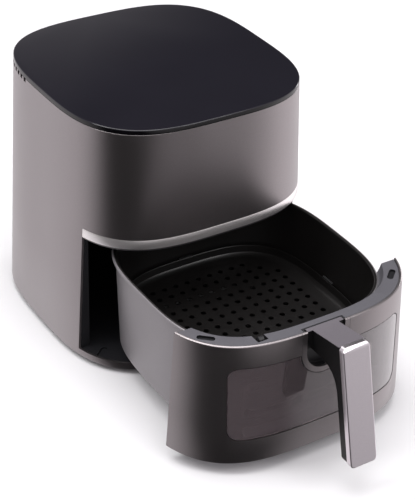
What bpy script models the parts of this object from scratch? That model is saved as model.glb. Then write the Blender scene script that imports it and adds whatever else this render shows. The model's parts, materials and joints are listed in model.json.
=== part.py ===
"""Drawer air fryer with a viewing window: housing, fan and heater, pull-out drawer, crisper plate."""

from math import asin, cos, hypot, pi, sin

import bmesh
import bpy
from mathutils import Matrix, Vector

# Driving dimensions in metres. Heights are above the housing's lower edge, depths from its middle,
# and the drawer's own pieces are given where they sit with the drawer shut.
HALF_WIDTH = 0.1400        # of the top panel
HALF_DEPTH = 0.1450
SQUARENESS = 3.24          # exponent of the rounded-square plan
FLARE = 0.30               # growth of the plan per metre towards the base
TOP = 0.2956
PANEL_BASE = 0.2903
HOUSING_TOP = 0.2900
BAND_TOP = 0.1663
BAND_BASE = 0.1554
MOUTH_TOP = 0.1530         # underside of the dark lip over the drawer
SILL = 0.0085              # top of the base lip under the drawer
MOUTH_Y = -0.0850          # plane where the housing's sides end and the drawer front begins
FRONT_BASE = 0.0092
FRONT_TOP = 0.1523
FLANGE_TOP = 0.1510
WALL = 0.0025
GAP = 0.0003
FOOT = 0.0060
DRAWER_OUT = 0.19375       # how far the drawer stands open at rest
BASKET_RIM = 0.1400
BASKET_FLOOR = 0.0150
PLATE_Z = 0.0660           # top face of the crisper plate
PLATE_LIP = 0.0790
WINDOW_HALF = 0.1060
WINDOW_BASE = 0.0375
WINDOW_TOP = 0.1265
WINDOW_CORNER = 0.0120
POCKET_R = 0.0230          # round-bottomed recess behind the handle
POCKET_RIM_R = 0.0290
POCKET_Z = 0.1272
POCKET_BACK = -0.1440
HANDLE_TOP = 0.1589
HANDLE_BASE = 0.0307
HANDLE_FACE = -0.1995      # front of the handle at its top
HANDLE_LEAN = 0.244        # how far the face leans out per metre down
ROOT_TOP = 0.1516          # top of the handle where it enters the front frame
ROOT_FRONT = -0.1520       # where the neck starts to rise towards the plate
HANDLE_HALF = 0.0162
HANDLE_EASE = 0.0020       # rounding of the metal plate's lower edge
PLATE_WRAP = 0.0070        # depth of the metal plate's sides
GRIP_DEPTH = 0.0165
HOOD_FLANGE = 0.1535
HOOD_ROOF = 0.1960
RING = 56                  # points round a full outline
ARC = 26                   # points round the drawer front

REAR = HALF_DEPTH * (1 + FLARE * (TOP - 0.001))
NOSE = DRAWER_OUT - (HANDLE_FACE - HANDLE_LEAN * (HANDLE_TOP - HANDLE_BASE - HANDLE_EASE))
CENTRE_SHIFT = (NOSE - REAR) / 2


def body_plan(z):
    """Half width and half depth of the housing's outline at a height."""
    scale = 1 + FLARE * (TOP - z)
    return HALF_WIDTH * scale, HALF_DEPTH * scale


def basket_plan(z):
    """Half width and half depth of the basket's outer wall, which narrows towards its floor."""
    narrower = 0.035 * (BASKET_RIM - z)
    return 0.1225 - narrower, 0.1255 - narrower


def hood_plan(_z):
    return 0.1120, 0.1160


def signed_power(value, power):
    return (1 if value >= 0 else -1) * abs(value) ** power


def plan_point(plan, angle, z, inset):
    half_width, half_depth = plan(z)
    power = 2 / SQUARENESS
    return Vector(((half_width - inset) * signed_power(cos(angle), power),
                   (half_depth - inset) * signed_power(sin(angle), power), z))


def front_angles(plan, z, inset, y_end, count):
    """Angles of the stretch of outline in front of y_end, from the left end to the right end."""
    half_depth = plan(z)[1] - inset
    end = asin(min(1.0, abs(y_end) / half_depth) ** (SQUARENESS / 2))
    return [pi + end + (pi - 2 * end) * i / (count - 1) for i in range(count)]


bpy.ops.object.select_all(action="DESELECT")
for old in list(bpy.data.objects):
    bpy.data.objects.remove(old, do_unlink=True)


def empty(name, parent, location):
    """A plain frame that carries one group of pieces."""
    frame = bpy.data.objects.new(name, None)
    bpy.context.scene.collection.objects.link(frame)
    frame.parent = parent
    frame.location = location
    return frame


base_frame = empty("base_frame", None, (0, CENTRE_SHIFT, FOOT))
drawer_frame = empty("drawer_frame", base_frame, (0, -DRAWER_OUT, 0))
plate_frame = empty("plate_frame", drawer_frame, (0, 0, 0))
fan_frame = empty("fan_frame", base_frame, (0, 0, 0))
plunger_frame = empty("plunger_frame", base_frame, (0, 0, 0))


def finish(name, colour, roughness, metallic):
    material = bpy.data.materials.new(name)
    material.use_nodes = True
    shader = material.node_tree.nodes["Principled BSDF"]
    shader.inputs["Base Color"].default_value = (*colour, 1)
    shader.inputs["Roughness"].default_value = roughness
    shader.inputs["Metallic"].default_value = metallic
    return material


LOOKS = {
    "lacquer": ((0.20, 0.18, 0.185), 0.36, 0.60),
    "satin_metal": ((0.62, 0.58, 0.57), 0.28, 1.0),
    "gloss_black": ((0.012, 0.012, 0.016), 0.06, 0.0),
    "grey_plastic": ((0.11, 0.105, 0.115), 0.50, 0.0),
    "black_plastic": ((0.012, 0.012, 0.013), 0.50, 0.0),
    "coated_steel": ((0.17, 0.16, 0.165), 0.42, 0.30),
    "steel": ((0.55, 0.55, 0.56), 0.30, 1.0),
    "tinted_glass": ((0.035, 0.030, 0.038), 0.04, 0.0),
    "rubber": ((0.02, 0.02, 0.02), 0.80, 0.0),
    "circuit_board": ((0.02, 0.11, 0.05), 0.60, 0.0),
    "heater_steel": ((0.20, 0.17, 0.16), 0.45, 0.90),
}


def piece(name, mesh_builder, look, parent):
    """Turns a bmesh into a named object with its own finish."""
    bmesh.ops.recalc_face_normals(mesh_builder, faces=mesh_builder.faces)
    mesh = bpy.data.meshes.new(name)
    mesh_builder.to_mesh(mesh)
    mesh_builder.free()
    made = bpy.data.objects.new(name, mesh)
    bpy.context.scene.collection.objects.link(made)
    made.parent = parent
    mesh.materials.append(finish(name, *LOOKS[look]))
    mesh.shade_smooth()
    mesh.set_sharp_from_angle(angle=0.6)
    return made


def stack(loops):
    """A closed skin through loops of equal count, capped at the first and the last."""
    built = bmesh.new()
    rings = [[built.verts.new(point) for point in loop] for loop in loops]
    for lower, upper in zip(rings, rings[1:]):
        for i in range(len(lower)):
            j = (i + 1) % len(lower)
            built.faces.new((lower[i], lower[j], upper[j], upper[i]))
    built.faces.new(rings[0])
    built.faces.new(rings[-1])
    return built


def sweep(profile, plan=body_plan, y_end=None, count=None):
    """A profile of (inset, height) points carried round an outline, all round or only the front."""
    built = bmesh.new()
    count = count or (RING if y_end is None else ARC)
    columns = []
    for inset, z in profile:
        if y_end is None:
            angles = [2 * pi * i / count for i in range(count)]
        else:
            angles = front_angles(plan, z, inset, y_end, count)
        columns.append([built.verts.new(plan_point(plan, a, z, inset)) for a in angles])
    last = count if y_end is None else count - 1
    for low, high in zip(columns, columns[1:] + columns[:1]):
        for i in range(last):
            j = (i + 1) % count
            built.faces.new((low[i], low[j], high[j], high[i]))
    if y_end is not None:
        built.faces.new([column[0] for column in columns])
        built.faces.new([column[-1] for column in columns])
    return built


def plan_loop(plan, z, inset, count=RING):
    return [plan_point(plan, 2 * pi * i / count, z, inset) for i in range(count)]


def circle(radius, z, x=0.0, y=0.0, count=24):
    return [Vector((x + radius * cos(2 * pi * i / count), y + radius * sin(2 * pi * i / count), z))
            for i in range(count)]


def turned(profile, x=0.0, y=0.0, count=24):
    """A solid of revolution about a vertical line, from (radius, height) points."""
    return stack([circle(radius, z, x, y, count) for radius, z in profile])


def ring(profile, count=32):
    """A turned ring: the (radius, height) points form a closed section clear of the axis."""
    built = bmesh.new()
    rings = [[built.verts.new(point) for point in circle(radius, z, count=count)] for radius, z in profile]
    for low, high in zip(rings, rings[1:] + rings[:1]):
        for i in range(count):
            j = (i + 1) % count
            built.faces.new((low[i], low[j], high[j], high[i]))
    return built


AXES = {
    "x": lambda a, b, c: Vector((c, a, b)),
    "y": lambda a, b, c: Vector((a, c, b)),
    "z": lambda a, b, c: Vector((a, b, c)),
}


def prism(outline, axis, start, end):
    """A flat outline extruded along an axis; the outline's two numbers are the other two axes in order."""
    place = AXES[axis]
    return stack([[place(a, b, level) for a, b in outline] for level in (start, end)])


def rounded(half_a, half_b, radius, centre=(0.0, 0.0), steps=5):
    """A rounded rectangle's outline."""
    points = []
    for k, (sa, sb) in enumerate(((1, 1), (-1, 1), (-1, -1), (1, -1))):
        for i in range(steps + 1):
            angle = (k + i / steps) * pi / 2
            points.append((centre[0] + sa * (half_a - radius) + radius * cos(angle),
                           centre[1] + sb * (half_b - radius) + radius * sin(angle)))
    return points


def block(x, y, z, radius=0.0006):
    """A box between three pairs of limits, with its upright edges eased."""
    half_x, half_y = (x[1] - x[0]) / 2, (y[1] - y[0]) / 2
    return prism(rounded(half_x, half_y, radius, (x[0] + half_x, y[0] + half_y), 2), "z", *z)


def u_shape(radius, top, steps=16):
    """Outline of a slot with a round bottom, open upwards to a height."""
    arc = [(-radius * cos(pi * i / steps), POCKET_Z - radius * sin(pi * i / steps)) for i in range(steps + 1)]
    return [(-radius, top)] + arc + [(radius, top)]


def combine(target, operation, tool_builder, parent):
    """Cuts, joins or trims a piece with a tool that isn't a piece itself."""
    tool = piece(f"tool_{target.name}_{len(target.modifiers)}", tool_builder, "steel", parent)
    tool.hide_render = True
    tool.display_type = "WIRE"
    boolean = target.modifiers.new(operation.lower(), "BOOLEAN")
    boolean.operation = operation
    boolean.object = tool
    return target


def tube(points, radius, sides=8):
    """A round bar along a path."""
    loops = []
    for i, point in enumerate(points):
        along = (points[min(i + 1, len(points) - 1)] - points[max(i - 1, 0)]).normalized()
        side = along.cross(Vector((0, 0, 1)))
        side = side.normalized() if side.length > 1e-6 else Vector((1, 0, 0))
        up = side.cross(along)
        loops.append([point + radius * (cos(2 * pi * k / sides) * side + sin(2 * pi * k / sides) * up)
                      for k in range(sides)])
    return stack(loops)


def merged(*builders):
    """Several closed meshes as one tool, whose parts stand clear of each other."""
    whole = bmesh.new()
    for builder in builders:
        points = [whole.verts.new(v.co) for v in builder.verts]
        builder.verts.index_update()
        for face in builder.faces:
            whole.faces.new([points[v.index] for v in face.verts])
        builder.free()
    return whole


# ---------------------------------------------------------------- housing and base

def make_housing():
    """One moulding: sides, back, upper front and the low lip under the drawer."""
    housing = piece("housing", sweep([(0.0008, 0), (0, 0.001), (0, HOUSING_TOP), (WALL, HOUSING_TOP),
                                      (WALL, 0)]), "lacquer", base_frame)
    mouth = block((-0.2, 0.2), (-0.3, MOUTH_Y), (SILL, BAND_TOP + GAP))
    combine(housing, "DIFFERENCE", mouth, base_frame)
    grille = prism(rounded(0.0503, 0.0253, 0.004, (0, 0.220)), "y", 0.10, 0.20)
    combine(housing, "DIFFERENCE", grille, base_frame)
    combine(housing, "DIFFERENCE", gland_bar(0.0083, 0.13, 0.18), base_frame)
    combine(housing, "DIFFERENCE", air_slots(), base_frame)


def air_slots():
    """Tools for the row of air inlets cut in the top edge round the back."""
    slots = []
    pitch, width, depth = 0.0098, 0.0056, 0.0042
    distance, previous = 0.0, None
    steps = 900
    for i in range(steps):
        angle = -0.1 + (pi + 0.2) * i / steps
        point = plan_point(body_plan, angle, HOUSING_TOP, WALL / 2)
        if point.y < 0.034:
            continue
        if previous is not None:
            distance += (point - previous).length
        if previous is None or distance >= pitch:
            along = (plan_point(body_plan, angle + 0.01, HOUSING_TOP, WALL / 2) - point).normalized()
            out = along.cross(Vector((0, 0, 1)))
            corners = [point + along * a * width / 2 + out * b * 0.004 for a, b in
                       ((-1, -1), (1, -1), (1, 1), (-1, 1))]
            low = Vector((0, 0, -depth))
            high = Vector((0, 0, 0.002))
            slots.append(stack([[c + low for c in corners], [c + high for c in corners]]))
            distance = 0.0
        previous = point
    return merged(*slots)


GLAND_X, GLAND_Z = 0.060, 0.032


def gland_bar(radius, start, end, count=20):
    outline = [(GLAND_X + radius * cos(2 * pi * i / count), GLAND_Z + radius * sin(2 * pi * i / count))
               for i in range(count)]
    return prism(outline, "y", start, end)


def make_gland():
    """The grommet where the supply lead passes through the back."""
    gland = piece("cord_gland", gland_bar(0.0110, 0.1561, 0.1577), "black_plastic", base_frame)
    combine(gland, "UNION", gland_bar(0.0079, 0.1400, 0.1565), base_frame)
    combine(gland, "DIFFERENCE", gland_bar(0.0034, 0.12, 0.18, 12), base_frame)


def make_grille():
    """The louvred outlet at the back, flush with the housing."""
    grille = piece("rear_vent_grille", sweep([(0.0003, 0.190), (0.0003, 0.250), (0.0028, 0.250),
                                              (0.0028, 0.190)]), "black_plastic", base_frame)
    combine(grille, "INTERSECT", prism(rounded(0.050, 0.025, 0.004, (0, 0.220)), "y", 0.10, 0.20), base_frame)
    louvres = [prism(rounded(0.0435, 0.0016, 0.0015, (0, 0.2004 + 0.0065 * i), 2), "y", 0.10, 0.20)
               for i in range(7)]
    combine(grille, "DIFFERENCE", merged(*louvres), base_frame)


def make_top():
    """The gloss black top panel with an eased edge, and the ring that carries it."""
    levels = ((TOP - 0.0025, 0.0045), (PANEL_BASE, 0.0040), (PANEL_BASE, 0.0003), (TOP - 0.0012, 0.0),
              (TOP - 0.0004, 0.0005), (TOP, 0.0014))
    panel = stack([plan_loop(body_plan, z, inset) for z, inset in levels])
    piece("top_panel", panel, "gloss_black", base_frame)
    piece("top_frame", sweep([(0.007, 0.2835), (0.007, 0.2897), (0.017, 0.2897), (0.017, 0.2873),
                              (0.0095, 0.2873), (0.0095, 0.2835)], count=36), "black_plastic", base_frame)


def make_band():
    """The satin metal band over the drawer and the dark lip that carries it."""
    edge = 0.0004
    band = [(edge, BAND_BASE), (0, BAND_BASE + edge), (0, BAND_TOP - edge), (edge, BAND_TOP),
            (0.0022, BAND_TOP), (0.0022, BAND_BASE)]
    piece("trim_band", sweep(band, y_end=MOUTH_Y - GAP), "satin_metal", base_frame)
    lip = [(0.0010, MOUTH_TOP), (0.0006, BAND_BASE - GAP), (WALL + 0.0006, BAND_BASE - GAP), (WALL + 0.0006, 0.1760),
           (0.0048, 0.1760), (0.0048, BAND_BASE - GAP), (0.0070, BAND_BASE - GAP), (0.0070, MOUTH_TOP)]
    piece("mouth_lip", sweep(lip, y_end=MOUTH_Y - GAP), "black_plastic", base_frame)


BAY_HALF_WIDTH, BAY_REAR = 0.1310, 0.1355
JAMB_HALF = 0.1480


def bay_plan(_z):
    return BAY_HALF_WIDTH, BAY_REAR


def bay_outline():
    """Plan of the bay's wall: a jamb, straight in, round the back of the drawer, and out again."""
    thick = 0.0018
    steps = 43
    angles = [pi * i / steps for i in range(steps + 1)]
    inside = [plan_point(bay_plan, a, 0, 0).xy for a in angles]
    outside = [plan_point(bay_plan, a, 0, -thick).xy for a in angles]
    front = MOUTH_Y + GAP
    back = front + thick
    half, outer = BAY_HALF_WIDTH, BAY_HALF_WIDTH + thick
    right = [Vector((outer, back)), Vector((JAMB_HALF, back)), Vector((JAMB_HALF, front)), Vector((half, front))]
    left = [Vector((-p.x, p.y)) for p in reversed(right)]
    return inside + left + list(reversed(outside)) + right


def make_bay():
    """The black liner that the drawer slides into: wall, front jambs and a stepped floor."""
    bay = piece("drawer_bay", prism([(p.x, p.y) for p in bay_outline()], "z", 0.0045, HOOD_FLANGE - GAP),
                "black_plastic", base_frame)
    floor = stack([plan_loop(body_plan, z, 0.0032) for z in (0.0045, SILL - 0.0005)])
    combine(bay, "UNION", floor, base_frame)
    well = stack([plan_loop(well_plan, z, 0) for z in (0.0062, 0.02)])
    combine(bay, "DIFFERENCE", well, base_frame)
    recesses = [prism(rounded(0.0125, 0.0040, 0.0039, (0, 0)), "z", 0.0058, 0.02) for _ in range(2)]
    for side, recess in zip((-1, 1), recesses):
        turn = Matrix.Rotation(side * -0.72, 3, "Z")
        bmesh.ops.rotate(recess, cent=(0, 0, 0), matrix=turn, verts=recess.verts)
        bmesh.ops.translate(recess, vec=(side * 0.1275, -0.1060, 0), verts=recess.verts)
    combine(bay, "DIFFERENCE", merged(*recesses), base_frame)
    inside_housing = stack([plan_loop(body_plan, z, WALL + 0.0007) for z in (0.0, 0.2)])
    combine(bay, "INTERSECT", inside_housing, base_frame)


def well_plan(_z):
    return 0.1180, 0.1210


FOOT_X, FOOT_Y = 0.104, 0.120
SCREW_X, SCREW_Y = 0.070, 0.085


def make_base():
    """The bottom plate with its screws and rubber feet."""
    tray = piece("base_tray", stack([plan_loop(body_plan, z, 0.0032, 40) for z in (0.0006, 0.0030)]),
                 "black_plastic", base_frame)
    corners = [(sx * SCREW_X, sy * SCREW_Y) for sy in (-1, 1) for sx in (-1, 1)]
    holes = [turned([(0.0023, -0.01), (0.0023, 0.01)], x, y, 12) for x, y in corners]
    vents = [block((-0.055, 0.055), (y - 0.002, y + 0.002), (-0.01, 0.01), 0.0019)
             for y in (-0.024, -0.012, 0.0, 0.012, 0.024)]
    combine(tray, "DIFFERENCE", merged(*holes, *vents), base_frame)
    names = ("front_left", "front_right", "rear_left", "rear_right")
    for name, (sx, sy) in zip(names, ((-1, -1), (1, -1), (-1, 1), (1, 1))):
        foot = [(0.0080, -FOOT), (0.0092, -FOOT + 0.0010), (0.0105, 0.0001), (0.0105, 0.0003)]
        piece(f"foot_{name}", turned(foot, sx * FOOT_X, sy * FOOT_Y, 20), "rubber", base_frame)
        screw = [(0.0036, -0.0019), (0.0040, -0.0012), (0.0040, 0.0002), (0.0018, 0.0003), (0.0018, 0.0040),
                 (0.0008, 0.0042)]
        piece(f"base_screw_{name}", turned(screw, sx * SCREW_X, sy * SCREW_Y, 12), "steel", base_frame)


# ---------------------------------------------------------------- heater, fan and controls

SHAFT_R = 0.0030
HEATER_Z = 0.1640
COIL_R = 0.0033


def make_hood():
    """The pressed steel hood over the basket, with a flange that rests on the bay."""
    thick = 0.0010
    section = ((hood_plan, HOOD_ROOF - thick, 0.016), (hood_plan, HOOD_ROOF - 0.006, 0.004),
               (hood_plan, HOOD_FLANGE, 0), (body_plan, HOOD_FLANGE, 0.0075),
               (body_plan, HOOD_FLANGE + thick, 0.0075), (hood_plan, HOOD_FLANGE + thick, -thick),
               (hood_plan, HOOD_ROOF - 0.005, 0.003), (hood_plan, HOOD_ROOF, 0.0155))
    hood = piece("reflector_hood", stack([plan_loop(*step, 40) for step in section]), "steel", base_frame)
    holes = [turned([(0.0050, 0.19), (0.0050, 0.20)], count=16),
             turned([(0.0024, 0.150), (0.0024, 0.158)], SWITCH_X, SWITCH_Y, 12)]
    combine(hood, "DIFFERENCE", merged(*holes), base_frame)


def make_heater():
    """The spiral heating element and the round guard under it."""
    turns, inner, outer = 2.25, 0.040, 0.088
    count = 42
    path = []
    for i in range(count):
        share = i / (count - 1)
        angle = 2 * pi * turns * share
        radius = inner + (outer - inner) * share
        path.append(Vector((radius * cos(angle), radius * sin(angle), HEATER_Z)))
    piece("heater_coil", tube(path, COIL_R, 6), "heater_steel", base_frame)
    low, high = 0.1560, 0.1572
    guard = piece("heater_guard", ring([(0.1010, low), (0.1010, high), (0.1045, high), (0.1045, low)], 28),
                  "steel", base_frame)
    rings = [ring([(r, low), (r, high), (r + 0.0022, high), (r + 0.0022, low)], 20) for r in (0.026, 0.062)]
    combine(guard, "UNION", merged(*rings), base_frame)
    for k in range(3):
        spoke = block((-0.1020, 0.1020), (-0.0012, 0.0012), (low - 0.0003, high + 0.0003), 0.0005)
        bmesh.ops.rotate(spoke, cent=(0, 0, 0), matrix=Matrix.Rotation(pi * k / 3 + 0.2, 3, "Z"),
                         verts=spoke.verts)
        combine(guard, "UNION", spoke, base_frame)


def make_fan(name, look, low, high, hub_r, tip_r, blades, pitch):
    """A hub on the shaft with flat blades set at a pitch."""
    fan = piece(name, ring([(SHAFT_R + 0.0002, low), (SHAFT_R + 0.0002, high), (hub_r, high), (hub_r, low)], 20),
                look, fan_frame)
    middle = (low + high) / 2
    half = (high - low) / 2 - 0.0003
    for k in range(blades):
        blade = block((hub_r - 0.002, tip_r), (-0.0006, 0.0006), (middle - half, middle + half), 0.0003)
        bmesh.ops.rotate(blade, cent=(hub_r, 0, middle), matrix=Matrix.Rotation(pitch, 3, "X"), verts=blade.verts)
        bmesh.ops.rotate(blade, cent=(0, 0, 0), matrix=Matrix.Rotation(2 * pi * k / blades, 3, "Z"),
                         verts=blade.verts)
        combine(fan, "UNION", blade, fan_frame)


def make_rotor():
    """Motor shaft with the hot-air fan below the hood's roof and the cooling fan above it."""
    piece("motor_shaft", turned([(SHAFT_R - 0.0006, 0.1700), (SHAFT_R, 0.1706), (SHAFT_R, 0.2564),
                                 (SHAFT_R - 0.0006, 0.2570)], count=16), "steel", fan_frame)
    make_fan("convection_fan", "steel", 0.1735, 0.1865, 0.0120, 0.0560, 8, 0.0)
    make_fan("cooling_fan", "grey_plastic", 0.2100, 0.2200, 0.0110, 0.0440, 9, 0.7)


def make_motor():
    """The fan motor, its bracket and the heat shield between it and the hood."""
    motor = piece("motor_housing", prism(rounded(0.034, 0.030, 0.006), "z", 0.2245, 0.2510), "steel", base_frame)
    combine(motor, "DIFFERENCE", turned([(0.0036, 0.20), (0.0036, 0.27)], count=16), base_frame)
    bracket = piece("motor_bracket", block((-0.0725, 0.0725), (-0.016, 0.016), (0.2513, 0.2530)),
                    "steel", base_frame)
    for side in (-1, 1):
        limits = sorted((side * 0.0712, side * 0.0728))
        combine(bracket, "UNION", block(limits, (-0.0155, 0.0155), (0.2068, 0.2528), 0.0004), base_frame)
    combine(bracket, "DIFFERENCE", turned([(0.0040, 0.24), (0.0040, 0.26)], count=16), base_frame)
    levels = ((0.2050, 0.0), (0.2062, 0.0))
    shield = piece("heat_shield", stack([plan_loop(hood_plan, z, inset, 40) for z, inset in levels]),
                   "steel", base_frame)
    combine(shield, "DIFFERENCE", turned([(0.0050, 0.20), (0.0050, 0.21)], count=16), base_frame)
    piece("thermal_cutout", turned([(0.0070, 0.1963), (0.0075, 0.1968), (0.0075, 0.2030), (0.0060, 0.2036)],
                                   0.045, 0.040, 16), "black_plastic", base_frame)
    piece("temperature_sensor", turned([(0.0008, 0.1600), (0.0020, 0.1615), (0.0020, 0.1850), (0.0032, 0.1852),
                                        (0.0032, 0.1890)], 0.082, 0.066, 12), "steel", base_frame)


def make_lamp():
    """The small lamp that lights the basket, behind a clear cover."""
    x, y = -0.074, -0.080
    piece("basket_lamp", block((x - 0.011, x + 0.011), (y - 0.007, y + 0.007), (0.1750, 0.1870), 0.003),
          "black_plastic", base_frame)
    piece("lamp_cover", block((x - 0.014, x + 0.014), (y - 0.010, y + 0.010), (0.1720, 0.1745), 0.004),
          "tinted_glass", base_frame)


def make_electronics():
    """Power board beside the motor, touch board and display under the top panel."""
    board = block((0.1120, 0.1136), (-0.050, 0.050), (0.2100, 0.2650), 0.0003)
    piece("power_board", board, "circuit_board", base_frame)
    piece("control_board", block((-0.080, 0.080), (-0.108, -0.030), (0.2775, 0.2791), 0.0007),
          "circuit_board", base_frame)
    piece("display_module", block((-0.060, 0.060), (-0.100, -0.058), (0.2795, 0.2899), 0.002),
          "black_plastic", base_frame)


SWITCH_X, SWITCH_Y = -0.0680, -0.1300


def make_switch():
    """The safety switch over the drawer's tab; its plunger is free to travel up."""
    body = piece("microswitch", block((SWITCH_X - 0.010, SWITCH_X + 0.010), (SWITCH_Y - 0.004, SWITCH_Y + 0.004),
                                      (0.1580, 0.1700)), "black_plastic", base_frame)
    combine(body, "DIFFERENCE", turned([(0.0021, 0.150), (0.0021, 0.1650)], SWITCH_X, SWITCH_Y, 12), base_frame)
    plunger = [(0.0010, 0.1531), (0.0016, 0.1537), (0.0016, 0.1618), (0.0012, 0.1622)]
    piece("switch_plunger", turned(plunger, SWITCH_X, SWITCH_Y, 12), "grey_plastic", plunger_frame)


# ---------------------------------------------------------------- drawer

def front_shell(outer, inner, low, high):
    """A stretch of the drawer front's curve between two insets."""
    return sweep([(outer, low), (outer, high), (inner, high), (inner, low)], y_end=MOUTH_Y - 0.0007)


def window_prism(grow):
    outline = rounded(WINDOW_HALF + grow, (WINDOW_TOP - WINDOW_BASE) / 2 + grow, WINDOW_CORNER + grow,
                      (0, (WINDOW_TOP + WINDOW_BASE) / 2))
    return prism(outline, "y", -0.20, -0.09)


def make_front_skin():
    """The lacquered skin of the drawer front, with openings for the window and the handle recess."""
    profile = [(0.0006, FRONT_BASE), (0, FRONT_BASE + 0.0008), (0, FRONT_TOP - 0.0012), (0.0006, FRONT_TOP),
               (0.0026, FRONT_TOP), (0.0026, FRONT_BASE)]
    skin = piece("front_skin", sweep(profile, y_end=MOUTH_Y - 0.0007), "lacquer", drawer_frame)
    combine(skin, "DIFFERENCE", window_prism(0.0), drawer_frame)
    combine(skin, "DIFFERENCE", prism(u_shape(POCKET_RIM_R + GAP, 0.17), "y", -0.20, -0.09), drawer_frame)


def make_window():
    """The tinted outer pane, notched round the handle recess, and its seal."""
    pane = piece("outer_window", front_shell(0.0003, 0.0028, WINDOW_BASE - 0.01, WINDOW_TOP + 0.01),
                 "tinted_glass", drawer_frame)
    combine(pane, "INTERSECT", window_prism(-0.0005), drawer_frame)
    combine(pane, "DIFFERENCE", prism(u_shape(POCKET_RIM_R + 0.0008, 0.17), "y", -0.20, -0.09), drawer_frame)
    seal = piece("window_seal", front_shell(0.0062, 0.0080, WINDOW_BASE - 0.02, WINDOW_TOP + 0.01),
                 "rubber", drawer_frame)
    outside = prism(rounded(0.0960, 0.0430, 0.010, (0, 0.0705)), "y", -0.20, -0.09)
    inside = prism(rounded(0.0880, 0.0340, 0.008, (0, 0.0700)), "y", -0.20, -0.09)
    combine(seal, "INTERSECT", outside, drawer_frame)
    combine(seal, "DIFFERENCE", inside, drawer_frame)
    combine(seal, "DIFFERENCE", prism(u_shape(POCKET_R + 0.0035, 0.17), "y", -0.20, -0.09), drawer_frame)


def make_front_frame():
    """The dark moulding behind the skin: top flange, front wall, bottom flange and two ends."""
    profile = [(0.0029, FRONT_BASE + 0.001), (0.0029, FLANGE_TOP), (0.0200, FLANGE_TOP), (0.0222, 0.1412),
               (0.0222, FRONT_BASE + 0.001)]
    frame = piece("front_frame", sweep(profile, y_end=MOUTH_Y - 0.0009), "grey_plastic", drawer_frame)
    hollow = sweep([(0.0058, FRONT_BASE + 0.0035), (0.0058, 0.1480), (0.0192, 0.1480), (0.0200, 0.1405),
                    (0.0300, 0.1405), (0.0300, FRONT_BASE + 0.0035)], y_end=MOUTH_Y - 0.0034)
    combine(frame, "DIFFERENCE", hollow, drawer_frame)
    basket_room = stack([plan_loop(basket_plan, z, -0.0048, 48) for z in (0.0, 0.1409)])
    combine(frame, "DIFFERENCE", basket_room, drawer_frame)
    opening = prism(rounded(0.0900, 0.0365, 0.008, (0, 0.0700)), "y", -0.20, -0.13)
    combine(frame, "DIFFERENCE", opening, drawer_frame)
    combine(frame, "DIFFERENCE", prism(u_shape(POCKET_R + 0.0023, 0.17), "y", -0.20, -0.1417), drawer_frame)
    slots = [prism(rounded(0.0095, 0.0034, 0.0033), "z", FLANGE_TOP - 0.0022, 0.17) for _ in range(2)]
    for side, slot in zip((-1, 1), slots):
        turn = Matrix.Rotation(side * 0.72, 3, "Z")
        bmesh.ops.rotate(slot, cent=(0, 0, 0), matrix=turn, verts=slot.verts)
        bmesh.ops.translate(slot, vec=(side * 0.1150, -0.1075, 0), verts=slot.verts)
    combine(frame, "DIFFERENCE", merged(*slots), drawer_frame)
    notch = block((TAB_X - 0.0062, TAB_X + 0.0062), (-0.1390, -0.1200), (0.1430, 0.17))
    combine(frame, "DIFFERENCE", notch, drawer_frame)


TAB_X = -0.0680


def make_tab():
    """The small upright tab in the flange that works the safety switch."""
    tab = block((TAB_X - 0.0030, TAB_X + 0.0030), (-0.1370, -0.1300), (0.1434, 0.1522), 0.0008)
    piece("interlock_tab", tab, "black_plastic", drawer_frame)


def make_pocket():
    """The round-bottomed recess behind the handle, with a rim flush with the skin."""
    rim = piece("handle_pocket", front_shell(0.0, 0.0026, 0.080, FRONT_TOP), "lacquer", drawer_frame)
    combine(rim, "INTERSECT", prism(u_shape(POCKET_RIM_R, 0.17), "y", -0.20, -0.09), drawer_frame)
    cup = prism(u_shape(POCKET_R + 0.0020, FLANGE_TOP), "y", -0.1520, POCKET_BACK + 0.0020)
    combine(rim, "UNION", cup, drawer_frame)
    combine(rim, "DIFFERENCE", prism(u_shape(POCKET_R, 0.17), "y", -0.20, POCKET_BACK), drawer_frame)
    bores = [screw_bar(x, 0.0025, -0.16, -0.13) for x in SCREW_XS]
    combine(rim, "DIFFERENCE", merged(*bores), drawer_frame)


SCREW_XS = (-0.0110, 0.0110)
SCREW_Z = 0.1395


def screw_bar(x, radius, start, end, count=12):
    outline = [(x + radius * cos(2 * pi * i / count), SCREW_Z + radius * sin(2 * pi * i / count))
               for i in range(count)]
    return prism(outline, "y", start, end)


def face_y(z):
    """Front of the handle at a height."""
    return HANDLE_FACE - HANDLE_LEAN * (HANDLE_TOP - z)


def grip_side(front):
    """Side view of the handle moulding, whose face is set back from the metal plate by front."""
    under, bend_low = 0.1290, 0.1000
    start = Vector((-0.1660, under))
    corner = Vector((face_y(under) + GRIP_DEPTH, under))
    end = Vector((face_y(bend_low) + GRIP_DEPTH, bend_low))
    bend = [start.lerp(corner, t).lerp(corner.lerp(end, t), t) for t in [i / 8 for i in range(9)]]
    tail = [Vector((face_y(z) + depth, z)) for z, depth in
            ((HANDLE_BASE + 0.0100, GRIP_DEPTH), (HANDLE_BASE + 0.0050, GRIP_DEPTH - 0.0016),
             (HANDLE_BASE + 0.0015, GRIP_DEPTH - 0.0048))]
    low = HANDLE_BASE + 0.0004
    base = [Vector((face_y(low) + max(front, 0.0088), low)), Vector((face_y(low) + front, low))]
    top = HANDLE_TOP - 0.0010
    root = POCKET_BACK - GAP
    return [(p.x, p.y) for p in
            [Vector((root, under)), *bend, *tail, *base, Vector((face_y(top) + front, top)),
             Vector((ROOT_FRONT, ROOT_TOP)), Vector((root, ROOT_TOP))]]


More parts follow.
